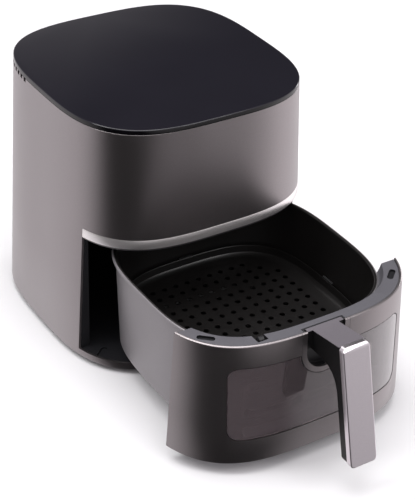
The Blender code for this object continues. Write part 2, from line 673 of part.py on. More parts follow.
def make_handle():
    """The black handle moulding: shouldered root, neck and grip with a rib inside the plate."""
    half = HANDLE_HALF - 0.0003
    handle = piece("handle_body", prism(grip_side(PLATE_WRAP + GAP), "x", -half, half), "black_plastic",
                   drawer_frame)
    rib = [(face_y(z) + depth, z) for z, depth in
           ((HANDLE_TOP - 0.0030, 0.0120), (HANDLE_TOP - 0.0030, 0.0019), (HANDLE_BASE + 0.0030, 0.0019),
            (HANDLE_BASE + 0.0030, 0.0086))]
    combine(handle, "UNION", prism(rib, "x", -HANDLE_HALF + 0.0019, HANDLE_HALF - 0.0019), drawer_frame)
    shoulder = prism(rounded(0.0220, 0.0026, 0.0006, (0, POCKET_BACK - GAP - 0.0026), 2), "z", 0.1302, ROOT_TOP)
    combine(handle, "UNION", shoulder, drawer_frame)
    bores = [screw_bar(x, 0.0023, -0.1590, -0.13) for x in SCREW_XS]
    combine(handle, "DIFFERENCE", merged(*bores), drawer_frame)
    for side, x in zip(("left", "right"), SCREW_XS):
        screw = piece(f"handle_screw_{side}", screw_bar(x, 0.0019, -0.1580, -0.1400), "steel", drawer_frame)
        combine(screw, "UNION", screw_bar(x, 0.0036, -0.1415, -0.1390), drawer_frame)


def make_handle_plate():
    """The metal plate over the front of the grip, a shallow channel that clips on."""
    wall = 0.0015
    side_view = [(face_y(z) + depth, z) for z, depth in
                 ((HANDLE_TOP, PLATE_WRAP), (HANDLE_TOP, 0.0008), (HANDLE_TOP - 0.0008, 0.0),
                  (HANDLE_BASE + HANDLE_EASE, 0.0), (HANDLE_BASE, 0.0012), (HANDLE_BASE, PLATE_WRAP))]
    plate = piece("handle_plate", prism(side_view, "x", -HANDLE_HALF, HANDLE_HALF), "satin_metal", drawer_frame)
    inside = [(face_y(z) + depth, z) for z, depth in
              ((HANDLE_TOP - 0.0025, 0.02), (HANDLE_TOP - 0.0025, wall), (HANDLE_BASE + 0.0025, wall),
               (HANDLE_BASE + 0.0025, 0.02))]
    combine(plate, "DIFFERENCE", prism(inside, "x", -HANDLE_HALF + wall, HANDLE_HALF - wall), drawer_frame)


def make_basket():
    """The coated steel pan with a rolled rim, rounded floor and an opening for the inner pane."""
    thick, bend = 0.0010, 0.014
    outside = [(BASKET_FLOOR + bend * (1 - cos(a)), bend * (1 - sin(a))) for a in
               [i * pi / 6 for i in range(4)]]
    inside = [(z + thick * cos(a), inset + thick * sin(a)) for (z, inset), a in
              zip(outside, [i * pi / 6 for i in range(4)])]
    loops = [(z, inset) for z, inset in outside]
    loops += [(BASKET_RIM - 0.0035, 0.0), (BASKET_RIM - 0.0035, -0.0036), (BASKET_RIM, -0.0030),
              (BASKET_RIM, thick)]
    loops += [(z, inset) for z, inset in reversed(inside)]
    basket = piece("basket", stack([plan_loop(basket_plan, z, inset, 48) for z, inset in loops]),
                   "coated_steel", drawer_frame)
    combine(basket, "DIFFERENCE", pane_prism(0.0), drawer_frame)


def pane_prism(grow):
    return prism(rounded(0.0720 + grow, 0.0300 + grow, 0.008 + grow, (0, 0.0760)), "y", -0.16, -0.09)


def make_inner_pane():
    """The clear inner pane in the basket's front wall and the frame that holds it."""
    pane = piece("inner_window", sweep([(-0.0012, 0.040), (-0.0012, 0.112), (0.0012, 0.112), (0.0012, 0.040)],
                                       basket_plan, -0.1, 20), "tinted_glass", drawer_frame)
    combine(pane, "INTERSECT", pane_prism(-0.0005), drawer_frame)
    frame = piece("inner_window_frame", sweep([(-0.0036, 0.034), (-0.0036, 0.118), (-0.0016, 0.118),
                                               (-0.0016, 0.034)], basket_plan, -0.09, 20),
                  "steel", drawer_frame)
    outside = prism(rounded(0.0780, 0.0360, 0.010, (0, 0.0760)), "y", -0.16, -0.09)
    inside = prism(rounded(0.0690, 0.0270, 0.006, (0, 0.0760)), "y", -0.16, -0.09)
    combine(frame, "INTERSECT", outside, drawer_frame)
    combine(frame, "DIFFERENCE", inside, drawer_frame)


HOLE_PITCH = 0.0300


def plate_holes():
    """Tools for the air holes, on a square grid inside the plate's flat."""
    tools = []
    for i in range(-3, 4):
        for j in range(-3, 4):
            if hypot(i, j) < 3.9:
                tools.append(turned([(0.0042, 0.05), (0.0042, 0.08)], i * HOLE_PITCH, j * HOLE_PITCH, 6))
    return merged(*tools)


BUMPER_PLACES = {"left": (-1, 0), "right": (1, 0), "front": (0, -1), "rear": (0, 1)}


def make_plate():
    """The crisper plate: a perforated tray with an upturned edge, held off the walls by soft bumpers."""
    thick, clear = 0.0012, 0.0050
    loops = [(PLATE_Z - thick, clear + 0.008), (PLATE_Z + 0.0040, clear + 0.0006), (PLATE_LIP, clear),
             (PLATE_LIP, clear + thick), (PLATE_Z + 0.0046, clear + 0.0006 + thick), (PLATE_Z, clear + 0.0088)]
    plate = piece("crisper_plate", stack([plan_loop(basket_plan, z, inset, 48) for z, inset in loops]),
                  "coated_steel", plate_frame)
    combine(plate, "DIFFERENCE", plate_holes(), plate_frame)
    for name, (sx, sy) in BUMPER_PLACES.items():
        half_width, half_depth = basket_plan(PLATE_Z)
        reach = (half_width if sx else half_depth) - 0.0018
        low, high = reach - 0.0026, reach
        across = (-0.009, 0.009)
        x = sorted((sx * low, sx * high)) if sx else across
        y = sorted((sy * low, sy * high)) if sy else across
        piece(f"plate_bumper_{name}", block(x, y, (PLATE_Z + 0.0045, PLATE_LIP + 0.0010), 0.0008), "rubber",
              plate_frame)


make_housing()
make_gland()
make_grille()
make_top()
make_band()
make_bay()
make_base()
make_hood()
make_heater()
make_rotor()
make_motor()
make_lamp()
make_electronics()
make_switch()
make_front_skin()
make_window()
make_front_frame()
make_tab()
make_pocket()
make_handle()
make_handle_plate()
make_basket()
make_inner_pane()
make_plate()
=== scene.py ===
import json
from math import asin, copysign, cos, pi, radians, sin

import bmesh
import bpy
import numpy as np
from mathutils import Matrix, Vector

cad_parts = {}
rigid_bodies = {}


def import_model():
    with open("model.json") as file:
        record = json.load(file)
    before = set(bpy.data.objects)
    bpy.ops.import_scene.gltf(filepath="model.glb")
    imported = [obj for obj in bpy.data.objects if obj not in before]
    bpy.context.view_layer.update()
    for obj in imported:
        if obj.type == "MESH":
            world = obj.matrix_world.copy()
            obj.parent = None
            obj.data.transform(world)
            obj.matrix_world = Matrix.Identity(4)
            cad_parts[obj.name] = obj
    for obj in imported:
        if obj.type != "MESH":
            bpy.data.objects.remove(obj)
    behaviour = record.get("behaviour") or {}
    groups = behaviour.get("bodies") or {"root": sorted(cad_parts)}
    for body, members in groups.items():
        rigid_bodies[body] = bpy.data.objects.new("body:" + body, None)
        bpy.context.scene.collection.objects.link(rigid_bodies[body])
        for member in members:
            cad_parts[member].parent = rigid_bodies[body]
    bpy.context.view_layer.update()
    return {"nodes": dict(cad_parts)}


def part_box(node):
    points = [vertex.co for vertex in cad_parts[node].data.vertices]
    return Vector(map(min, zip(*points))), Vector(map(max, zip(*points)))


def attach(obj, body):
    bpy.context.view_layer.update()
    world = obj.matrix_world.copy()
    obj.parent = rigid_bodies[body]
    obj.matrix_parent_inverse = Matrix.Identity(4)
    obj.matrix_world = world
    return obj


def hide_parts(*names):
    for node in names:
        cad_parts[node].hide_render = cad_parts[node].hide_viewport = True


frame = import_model()

# ---- The stage -------------------------------------------------------------------------------
# A pale table top, four softboxes and a dim dome with four soft cards of light in it. Nothing here
# belongs to the appliance.

STAGE_HALF = 12.0
TABLE_DROP = 0.0004        # keeps the table's face just under the feet
TABLE_COLOUR = (0.86, 0.86, 0.87)
TABLE_ROUGHNESS = 0.9
CAMERA_PLACE = Vector((-0.73731, -1.12525, 0.99966))
CAMERA_ALONG = Vector((0.456510, 0.704212, -0.543769))
CAMERA_ROLL = radians(2.093)
LENS_MM = 103.88
SENSOR_MM = 36.0

bpy.context.scene.view_settings.view_transform = "Standard"
scene_objects = bpy.context.scene.collection.objects

camera = bpy.data.objects.new("studio_camera", bpy.data.cameras.new("studio_camera"))
scene_objects.link(camera)
camera.data.lens = LENS_MM
camera.data.sensor_width = SENSOR_MM
camera.location = CAMERA_PLACE
level_view = CAMERA_ALONG.to_track_quat("-Z", "Y").to_matrix()
camera.rotation_euler = (level_view @ Matrix.Rotation(CAMERA_ROLL, 3, "Z")).to_euler()
bpy.context.scene.camera = camera


def soft_lamp(name, place, aim, width, height, watts):
    """A rectangular softbox at a place, looking at a point."""
    lamp = bpy.data.objects.new(name, bpy.data.lights.new(name, "AREA"))
    scene_objects.link(lamp)
    lamp.data.shape = "RECTANGLE"
    lamp.data.size = width
    lamp.data.size_y = height
    lamp.data.energy = watts
    lamp.location = place
    lamp.rotation_euler = (Vector(aim) - Vector(place)).to_track_quat("-Z", "Y").to_euler()


soft_lamp("overhead_softbox", (-0.1, 0.1, 1.7), (0, 0, 0.1), 1.5, 1.5, 22)
soft_lamp("left_softbox", (-1.35, 0.35, 1.65), (0, 0.1, 0.2), 0.35, 1.0, 9)
soft_lamp("front_softbox", (0.85, -1.45, 1.55), (0, -0.1, 0.15), 0.6, 0.5, 5)
soft_lamp("right_softbox", (1.9, 0.45, 0.62), (0, 0.1, 0.2), 0.3, 0.5, 6)

# Each card: a direction, the cosines where it has faded out and where it is full, and a strength.
SOFT_CARDS = {
    "left_card": ((-0.44, 0.88, -0.35), 0.28, 0.95, 1.02),
    "right_card": ((0.95, -0.05, -0.30), 0.50, 0.98, 1.28),
    "front_card": ((0.25, -0.95, 0.25), 0.66, 0.95, 0.66),
    "overhead_card": ((-0.15, -0.25, 1.0), 0.45, 0.95, 1.10),
}
DOME_LEVEL = 0.017
DOME_TINT = (1.0, 0.955, 0.985)

dome = bpy.data.worlds.new("studio_dome")
bpy.context.scene.world = dome
dome.use_nodes = True
nodes, links = dome.node_tree.nodes, dome.node_tree.links
background = nodes["Background"]
heading = nodes.new("ShaderNodeTexCoord")
level = None
for name, (direction, faded, full, strength) in SOFT_CARDS.items():
    toward = nodes.new("ShaderNodeVectorMath")
    toward.operation = "DOT_PRODUCT"
    toward.inputs[1].default_value = Vector(direction).normalized()
    links.new(heading.outputs["Generated"], toward.inputs[0])
    fade = nodes.new("ShaderNodeMapRange")
    fade.name = name
    fade.interpolation_type = "SMOOTHSTEP"
    fade.inputs["From Min"].default_value = faded
    fade.inputs["From Max"].default_value = full
    fade.inputs["To Max"].default_value = strength
    links.new(toward.outputs["Value"], fade.inputs["Value"])
    total = nodes.new("ShaderNodeMath")
    total.operation = "ADD"
    total.inputs[1].default_value = DOME_LEVEL
    links.new(fade.outputs["Result"], total.inputs[0])
    if level is not None:
        links.new(level.outputs["Value"], total.inputs[1])
    level = total
links.new(level.outputs["Value"], background.inputs["Strength"])
background.inputs["Color"].default_value = (*DOME_TINT, 1)

table_mesh = bmesh.new()
bmesh.ops.create_grid(table_mesh, x_segments=8, y_segments=8, size=STAGE_HALF)
table_data = bpy.data.meshes.new("pale_table")
table_mesh.to_mesh(table_data)
table_mesh.free()
table = bpy.data.objects.new("pale_table", table_data)
scene_objects.link(table)
table_paint = bpy.data.materials.new("table_paint")
table_paint.use_nodes = True
table_shader = table_paint.node_tree.nodes["Principled BSDF"]
table_shader.inputs["Base Color"].default_value = (*TABLE_COLOUR, 1)
table_shader.inputs["Roughness"].default_value = TABLE_ROUGHNESS
table_data.materials.append(table_paint)
table.location.z = -TABLE_DROP
table.visible_glossy = False

# ---- Housing ---------------------------------------------------------------------------------
# One deep moulding in glass-filled plastic makes the sides, the back, the upper front and the
# low lip under the drawer. It tapers a little towards the top and is sprayed with a warm grey
# metallic lacquer. Slots along its top edge, behind the middle, let cooling air in.

TOP = 0.2956               # heights are above the housing's lower edge, depths from its middle
HOUSING_TOP = 0.2900
HALF_WIDTH = 0.1400        # of the plan at the very top
HALF_DEPTH = 0.1450
FLARE = 0.30               # growth of the plan per metre towards the base
SQUARENESS = 3.24          # exponent of the rounded-square plan
WALL = 0.0025
GAP = 0.0003               # between pieces that meet
SILL = 0.0085
MOUTH_Y = -0.0850          # plane where the drawer front begins
BAND_TOP = 0.1663
GLAND_X, GLAND_Z = 0.060, 0.032
GLAND_HOLE_R = 0.0083
GRILLE_Z = 0.220
GRILLE_HALF_X, GRILLE_HALF_Z, GRILLE_CORNER = 0.050, 0.025, 0.004
ROUND_STEPS = 220          # points round a whole outline
OUTLINE_SAMPLES = 3000     # points that measure its length
SMOOTH_BELOW = radians(32)         # gentler edges are shaded smooth
EASE_ABOVE = radians(35)           # sharper edges are rounded

panel_low, panel_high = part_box("top_panel")
pan_low, pan_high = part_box("basket")
BODY = Vector((0, (panel_low.y + panel_high.y) / 2, panel_high.z - TOP))
DRAWER = Vector((0, (pan_low.y + pan_high.y) / 2, BODY.z))


def body_plan(z):
    """Half width and half depth of the housing at a height."""
    scale = 1 + FLARE * (TOP - z)
    return HALF_WIDTH * scale, HALF_DEPTH * scale


def plan_point(plan, angle, z, inset=0.0):
    """A point on a rounded-square outline, drawn in by an inset."""
    half_width, half_depth = plan(z)
    across, along = cos(angle), sin(angle)
    power = 2 / SQUARENESS
    return Vector(((half_width - inset) * copysign(abs(across) ** power, across),
                   (half_depth - inset) * copysign(abs(along) ** power, along), z))


def even_angles(plan, z, start, end, count):
    """Angles that share a stretch of outline into steps of equal length."""
    fine = np.linspace(start, end, OUTLINE_SAMPLES)
    points = np.array([plan_point(plan, a, z).xy for a in fine])
    travelled = np.concatenate([[0], np.cumsum(np.linalg.norm(np.diff(points, axis=0), axis=1))])
    return np.interp(np.linspace(0, travelled[-1], count), travelled, fine)


def front_end(plan, z, inset, y_end):
    """How far past the side's middle the outline crosses y_end, as an angle."""
    return asin(min(1.0, abs(y_end) / (plan(z)[1] - inset)) ** (SQUARENESS / 2))


def swept(section, plan=body_plan, y_end=None):
    """A closed section of (inset, height) points carried round a plan, or only in front of y_end."""
    built = bmesh.new()
    middle = section[0][1]
    columns = []
    if y_end is None:
        count = ROUND_STEPS
        angles = even_angles(plan, middle, 0, 2 * pi, count + 1)[:-1]
    else:
        count = ROUND_STEPS // 2
        end = front_end(plan, middle, 0, y_end)
        angles = even_angles(plan, middle, pi + end, 2 * pi - end, count)
        shares = (angles - pi - end) / (pi - 2 * end)
    for inset, z in section:
        if y_end is not None:
            end = front_end(plan, z, inset, y_end)
            angles = pi + end + (pi - 2 * end) * shares
        columns.append([built.verts.new(plan_point(plan, a, z, inset)) for a in angles])
    last = count if y_end is None else count - 1
    for low, high in zip(columns, columns[1:] + columns[:1]):
        for i in range(last):
            j = (i + 1) % count
            built.faces.new((low[i], low[j], high[j], high[i]))
    if y_end is not None:
        built.faces.new([column[0] for column in columns])
        built.faces.new([column[-1] for column in columns])
    return built


def plan_loop(plan, z, inset=0.0):
    """The outline at a height as a list of points."""
    angles = even_angles(plan, z, 0, 2 * pi, ROUND_STEPS + 1)[:-1]
    return [plan_point(plan, a, z, inset) for a in angles]


def stacked(loops):
    """A closed skin through loops of equal count, capped at the first and the last."""
    built = bmesh.new()
    rings = [[built.verts.new(point) for point in loop] for loop in loops]
    for lower, upper in zip(rings, rings[1:]):
        for i in range(len(lower)):
            j = (i + 1) % len(lower)
            built.faces.new((lower[i], lower[j], upper[j], upper[i]))
    built.faces.new(rings[0])
    built.faces.new(rings[-1])
    return built


def quarter(steps):
    """Angles that share a quarter turn."""
    return [pi / 2 * i / steps for i in range(steps + 1)]


def rounded(half_a, half_b, radius, centre=(0.0, 0.0), steps=8):
    """A rounded rectangle's outline."""
    points = []
    for k, (side_a, side_b) in enumerate(((1, 1), (-1, 1), (-1, -1), (1, -1))):
        for i in range(steps + 1):
            angle = (k + i / steps) * pi / 2
            points.append((centre[0] + side_a * (half_a - radius) + radius * cos(angle),
                           centre[1] + side_b * (half_b - radius) + radius * sin(angle)))
    return points


AXES = {
    "x": lambda a, b, c: Vector((c, a, b)),
    "y": lambda a, b, c: Vector((a, c, b)),
    "z": lambda a, b, c: Vector((a, b, c)),
}


def prism(outline, axis, start, end):
    """A flat outline carried along an axis; its two numbers are the other two axes in order."""
    place = AXES[axis]
    return stacked([[place(a, b, level) for a, b in outline] for level in (start, end)])


def block(x, y, z, radius=0.0006):
    """A bar between three pairs of limits, with its upright edges eased."""
    half_x, half_y = (x[1] - x[0]) / 2, (y[1] - y[0]) / 2
    return prism(rounded(half_x, half_y, radius, (x[0] + half_x, y[0] + half_y), 3), "z", *z)


def disc(radius, centre, count=32):
    """A round outline about a centre."""
    turns = [2 * pi * i / count for i in range(count)]
    return [(centre[0] + radius * cos(a), centre[1] + radius * sin(a)) for a in turns]


def together(*builders):
    """Several closed skins that stand clear of each other, as one mesh."""
    whole = bmesh.new()
    for builder in builders:
        points = [whole.verts.new(v.co) for v in builder.verts]
        builder.verts.index_update()
        for face in builder.faces:
            whole.faces.new([points[v.index] for v in face.verts])
        builder.free()
    return whole


def made(name, built, place, *materials):
    """Turns a built mesh into an object of the appliance, shaded smooth between sharp edges."""
    bmesh.ops.translate(built, vec=place, verts=built.verts)
    bmesh.ops.recalc_face_normals(built, faces=built.faces)
    mesh = bpy.data.meshes.new(name)
    built.to_mesh(mesh)
    built.free()
    mesh.shade_smooth()
    mesh.set_sharp_from_angle(angle=SMOOTH_BELOW)
    for material in materials:
        mesh.materials.append(material)
    thing = bpy.data.objects.new(name, mesh)
    scene_objects.link(thing)
    return thing


def worked(thing, operation, built, place, *materials):
    """Cuts, joins or trims a piece with a tool mesh, which may give its own material to the cut's faces, as
    painted shade in the front frame's slots and notch.
    """
    tool = made("tool", built, place, *materials)
    boolean = thing.modifiers.new(operation.lower(), "BOOLEAN")
    boolean.material_mode = "TRANSFER" if materials else "INDEX"
    boolean.operation = operation
    boolean.object = tool
    shown = thing.evaluated_get(bpy.context.evaluated_depsgraph_get())
    result = bpy.data.meshes.new_from_object(shown)
    thing.modifiers.clear()
    old = thing.data
    thing.data = result
    result.name = old.name
    result.set_sharp_from_angle(angle=SMOOTH_BELOW)
    bpy.data.meshes.remove(old)
    bpy.data.objects.remove(tool, do_unlink=True)


def cut(thing, built, place, *materials):
    """Cuts a tool mesh out of a piece."""
    worked(thing, "DIFFERENCE", built, place, *materials)


def eased(thing, width, segments=2):
    """Small radii on the edges that a tool would leave sharp."""
    bevel = thing.modifiers.new("eased_edges", "BEVEL")
    bevel.width = width
    bevel.segments = segments
    bevel.limit_method = "ANGLE"
    bevel.angle_limit = EASE_ABOVE
    bevel.harden_normals = True
    bevel.use_clamp_overlap = True


def node_of(tree, kind, **settings):
    """A new node of a kind with its settings."""
    node = tree.nodes.new(kind)
    for key, value in settings.items():
        setattr(node, key, value)
    return node


def grain_group():
    """Fine tooth of a moulded, sprayed or blasted surface: mottled colour, roughness, small bump."""
    group = bpy.data.node_groups.new("surface_grain", "ShaderNodeTree")
    for name, kind in (("Colour", "Color"), ("Mottle", "Float"), ("Roughness", "Float"), ("Spread", "Float"),
                       ("Grain Scale", "Float"), ("Grain Depth", "Float"), ("Grain Height", "Float"),
                       ("Stretch", "Vector")):
        group.interface.new_socket(name, in_out="INPUT", socket_type=f"NodeSocket{kind}")
    for name, kind in (("Colour", "Color"), ("Roughness", "Float"), ("Normal", "Vector")):
        group.interface.new_socket(name, in_out="OUTPUT", socket_type=f"NodeSocket{kind}")
    inputs = node_of(group, "NodeGroupInput")
    outputs = node_of(group, "NodeGroupOutput")
    place = node_of(group, "ShaderNodeTexCoord")
    stretch = node_of(group, "ShaderNodeVectorMath", operation="MULTIPLY")
    fine = node_of(group, "ShaderNodeTexNoise")
    broad = node_of(group, "ShaderNodeTexNoise")
    broad.inputs["Scale"].default_value = 22
    fine.inputs["Detail"].default_value = 3
    bump = node_of(group, "ShaderNodeBump")
    darker = node_of(group, "ShaderNodeMix", data_type="RGBA", blend_type="MULTIPLY")
    shade = node_of(group, "ShaderNodeMapRange")
    for name, value in (("From Min", 0.3), ("From Max", 0.7), ("To Min", 0.62), ("To Max", 1.3)):
        shade.inputs[name].default_value = value
    wander = node_of(group, "ShaderNodeMath", operation="SUBTRACT")
    wander.inputs[1].default_value = 0.5
    spread = node_of(group, "ShaderNodeMath", operation="MULTIPLY_ADD")
    for source, out, target, into in (
            (place, "Object", stretch, 0), (inputs, "Stretch", stretch, 1), (stretch, 0, fine, "Vector"),
            (stretch, 0, broad, "Vector"), (inputs, "Grain Scale", fine, "Scale"),
            (inputs, "Grain Depth", bump, "Strength"), (inputs, "Grain Height", bump, "Distance"),
            (fine, "Fac", bump, "Height"), (fine, "Fac", shade, "Value"),
            (inputs, "Mottle", darker, "Factor"), (inputs, "Colour", darker, "A"),
            (shade, "Result", darker, "B"), (broad, "Fac", wander, 0), (wander, 0, spread, 0),
            (inputs, "Spread", spread, 1), (inputs, "Roughness", spread, 2),
            (darker, "Result", outputs, "Colour"), (spread, 0, outputs, "Roughness"),
            (bump, "Normal", outputs, "Normal")):
        group.links.new(source.outputs[out], target.inputs[into])
    return group


SURFACE_GRAIN = grain_group()


def finish(name, colour, roughness, grain, mottle=0.15, spread=0.08, depth=0.1, height=0.00004,
           stretch=(1, 1, 1), **sockets):
    """A material with the shared grain in its colour, roughness and relief; other sockets as given."""
    material = bpy.data.materials.new(name)
    material.use_nodes = True
    tree = material.node_tree
    shader = tree.nodes["Principled BSDF"]
    texture = tree.nodes.new("ShaderNodeGroup")
    texture.node_tree = SURFACE_GRAIN
    for socket, value in (("Colour", (*colour, 1)), ("Mottle", mottle), ("Roughness", roughness),
                          ("Spread", spread), ("Grain Scale", grain), ("Grain Depth", depth),
                          ("Grain Height", height), ("Stretch", stretch)):
        texture.inputs[socket].default_value = value
    for source, target in (("Colour", "Base Color"), ("Roughness", "Roughness"), ("Normal", "Normal")):
        tree.links.new(texture.outputs[source], shader.inputs[target])
    for socket, value in sockets.items():
        shader.inputs[socket.replace("_", " ")].default_value = value
    return material


lacquer = finish("warm_grey_lacquer", (0.300, 0.276, 0.280), 0.33, 2600, mottle=0.35, spread=0.05, depth=0.10,
                 Metallic=0.97, Coat_Weight=0.04, Coat_Roughness=0.25)

housing = made("housing_shell", swept([
    (0.0012, 0.0), (0.0004, 0.0003), (0.0, 0.0012), (0.0, 0.10), (0.0, 0.20), (0.0, HOUSING_TOP - 0.0001),
    (0.0001, HOUSING_TOP), (WALL, HOUSING_TOP), (WALL, 0.0)]), BODY, lacquer)
cut(housing, block((-0.2, 0.2), (-0.3, MOUTH_Y), (SILL, BAND_TOP + GAP)), BODY)
grille_hole = rounded(GRILLE_HALF_X + GAP, GRILLE_HALF_Z + GAP, GRILLE_CORNER, (0, GRILLE_Z))
cut(housing, prism(grille_hole, "y", 0.10, 0.20), BODY)
cut(housing, prism(disc(GLAND_HOLE_R, (GLAND_X, GLAND_Z)), "y", 0.13, 0.18), BODY)


def air_slots(pitch, width, depth, y_from):
    """Cutters for the row of inlets along the top edge behind y_from."""
    count, overlap = 2000, 0.1
    angles = even_angles(body_plan, HOUSING_TOP, -overlap, pi + overlap, count)
    points = [plan_point(body_plan, a, HOUSING_TOP, WALL / 2) for a in angles]
    step = sum((b - a).length for a, b in zip(points, points[1:])) / (count - 1)
    kept = [i for i in range(count) if points[i].y > y_from]
    cutters = []
    for i in kept[::round(pitch / step)]:
        along = (points[min(i + 1, count - 1)] - points[i - 1]).normalized()
        out = along.cross(Vector((0, 0, 1)))
        corners = [points[i] + along * a * width / 2 + out * b * 0.004
                   for a, b in ((-1, -1), (1, -1), (1, 1), (-1, 1))]
        cutters.append(stacked([[c - Vector((0, 0, depth)) for c in corners],
                                [c + Vector((0, 0, 0.002)) for c in corners]]))
    return together(*cutters)


cut(housing, air_slots(pitch=0.0098, width=0.0056, depth=0.0042, y_from=0.034), BODY)
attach(housing, "base_unit")
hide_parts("housing")

# ---- Base plate, screws and feet -------------------------------------------------------------
# A black moulded plate closes the housing from below, with vents under the bay. Four pan-head
# steel screws with cross recesses hold it, and four ribbed rubber feet are pressed into it.

black_plastic = finish("black_moulding", (0.012, 0.012, 0.014), 0.46, 1300, mottle=0.3, depth=0.5)
rubber = finish("matt_rubber", (0.018, 0.018, 0.019), 0.82, 700, mottle=0.4, spread=0.1, depth=0.9,
                Specular_IOR_Level=0.3)
screw_steel = finish("plated_steel", (0.55, 0.55, 0.56), 0.28, 1500, mottle=0.25, depth=0.08, Metallic=1.0)

FOOT_HEIGHT = BODY.z
FOOT_X, FOOT_Y = 0.104, 0.120
SCREW_X, SCREW_Y = 0.070, 0.085
SCREW_WELL_R = 0.0023
VENT_ROWS = (-0.024, -0.012, 0.0, 0.012, 0.024)
VENT_HALF_X, VENT_HALF_Y = 0.055, 0.002


def circle(radius, z, x=0.0, y=0.0, count=48):
    """A round loop of points at a height."""
    return [Vector((x + radius * cos(2 * pi * i / count), y + radius * sin(2 * pi * i / count), z))
            for i in range(count)]


def turned(section, x=0.0, y=0.0, count=48):
    """A solid of revolution about an upright line, from (radius, height) points."""
    return stacked([circle(radius, z, x, y, count) for radius, z in section])


base_plate = made("base_plate", stacked([plan_loop(body_plan, z, inset) for z, inset in (
    (0.0006, 0.0042), (0.0010, 0.0032), (0.0030, 0.0032))]), BODY, black_plastic)
screw_places = [(side * SCREW_X, end * SCREW_Y) for end in (-1, 1) for side in (-1, 1)]
screw_wells = [turned([(SCREW_WELL_R, -0.01), (SCREW_WELL_R, 0.01)], x, y, 24) for x, y in screw_places]
base_vents = [block((-VENT_HALF_X, VENT_HALF_X), (y - VENT_HALF_Y, y + VENT_HALF_Y), (-0.01, 0.01), 0.0019)
              for y in VENT_ROWS]
cut(base_plate, together(*screw_wells, *base_vents), BODY)
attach(base_plate, "base_unit")
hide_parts("base_tray")

CORNERS = {"front_left": (-1, -1), "front_right": (1, -1), "rear_left": (-1, 1), "rear_right": (1, 1)}
for corner, (side, end) in CORNERS.items():
    x, y, low = side * FOOT_X, end * FOOT_Y, -FOOT_HEIGHT
    ribs = [(0.0060, low), (0.0082, low), (0.0088, low + 0.0005), (0.0090, low + 0.0014)]
    for k in range(2):
        z, wider = low + 0.0018 + 0.0016 * k, 0.0005 * k
        ribs += [(0.0092 + wider, z), (0.0088 + wider, z + 0.0003), (0.0088 + wider, z + 0.0008)]
    ribs += [(0.0103, -0.0006), (0.0105, 0.0), (0.0105, 0.0003)]
    foot = made(f"rubber_foot_{corner}", turned(ribs, x, y), BODY, rubber)
    cut(foot, turned([(0.0042, low - 0.001), (0.0036, low + 0.0012)], x, y), BODY)
    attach(foot, "base_unit")
    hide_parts(f"foot_{corner}")

    x, y = side * SCREW_X, end * SCREW_Y
    screw = made(f"pan_head_screw_{corner}", turned([
        (0.0016, -0.0021), (0.0030, -0.0018), (0.0038, -0.0011), (0.0040, -0.0004), (0.0040, 0.0002),
        (0.0018, 0.0003), (0.0018, 0.0040), (0.0008, 0.0046)], x, y, 32), BODY, screw_steel)
    for a, b in ((0.0018, 0.00035), (0.00035, 0.0018)):
        arm = block((x - a, x + a), (y - b, y + b), (-0.004, -0.0008), 0.0002)
        cut(screw, arm, BODY)
    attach(screw, "base_unit")
    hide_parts(f"base_screw_{corner}")

# ---- Cord gland and rear grille --------------------------------------------------------------
# A nylon gland lines the hole for the supply lead. Above it a louvred black outlet, moulded to
# the curve of the housing and clipped in from inside, lets the hot air out.

GLAND_FLANGE_R, GLAND_BARREL_R, GLAND_LEAD_R = 0.0110, 0.0079, 0.0034
LOUVRE_BASE, LOUVRE_PITCH = 0.2004, 0.0065


def gland_bar(radius, start, end):
    """A round bar on the gland's axis."""
    return prism(disc(radius, (GLAND_X, GLAND_Z), 48), "y", start, end)


gland = made("cord_gland_ring", gland_bar(GLAND_FLANGE_R, 0.1561, 0.1577), BODY, black_plastic)
worked(gland, "UNION", gland_bar(GLAND_BARREL_R, 0.1400, 0.1565), BODY)
cut(gland, gland_bar(GLAND_LEAD_R, 0.12, 0.18), BODY)
eased(gland, 0.0004)
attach(gland, "base_unit")
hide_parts("cord_gland")

outlet = made("louvred_outlet", swept([
    (0.0003, 0.190), (0.0003, 0.250), (0.0028, 0.250), (0.0028, 0.190)]), BODY, black_plastic)
outlet_outline = rounded(GRILLE_HALF_X, GRILLE_HALF_Z, GRILLE_CORNER, (0, GRILLE_Z))
worked(outlet, "INTERSECT", prism(outlet_outline, "y", 0.10, 0.20), BODY)
louvres = [prism(rounded(0.0435, 0.0016, 0.0015, (0, LOUVRE_BASE + LOUVRE_PITCH * i)), "y", 0.10, 0.20)
           for i in range(7)]
cut(outlet, together(*louvres), BODY)
eased(outlet, 0.0003)
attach(outlet, "base_unit")
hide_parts("rear_vent_grille")

# ---- Top panel -------------------------------------------------------------------------------
# A flat pane of black glass with a finely ground edge, bonded to a black plastic ring. Its upright
# side takes a darker copy of the glass's material as painted shade. The touch keys and the display
# sit under it and don't show while the appliance is off.

PANEL_BASE = 0.2903
PANEL_EDGE = 0.0010

gloss_black = finish("black_glass_top", (0.0118, 0.0112, 0.0155), 0.045, 14, mottle=0.1, spread=0.05,
                     depth=0.0)
# a darker copy of the black glass for the pane's upright side: painted shade
glass_side_painted_shade = finish("black_glass_side_painted_shade", (0.0020, 0.0018, 0.0024), 0.06, 14, mottle=0.1, spread=0.03,
                    depth=0.0)


def painted(node, material):
    """Gives a CAD node that keeps its shape one of this file's materials."""
    for held in frame["nodes"][node].material_slots:
        held.material = material


edge_arc = [(PANEL_EDGE * (1 - cos(a)), TOP - PANEL_EDGE * (1 - sin(a))) for a in quarter(4)]
panel = made("glass_top_panel", stacked([plan_loop(body_plan, z, inset) for inset, z in [
    (0.0045, TOP - 0.0025), (0.0040, PANEL_BASE), (0.0005, PANEL_BASE), (0.0, PANEL_BASE + 0.0003),
    *edge_arc]]), BODY, gloss_black, glass_side_painted_shade)
# faces that stand upright take the darker copy, so the pane's side carries painted shade
for face in panel.data.polygons:
    face.material_index = int(abs(face.normal.z) < 0.2)
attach(panel, "base_unit")
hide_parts("top_panel")
painted("top_frame", black_plastic)

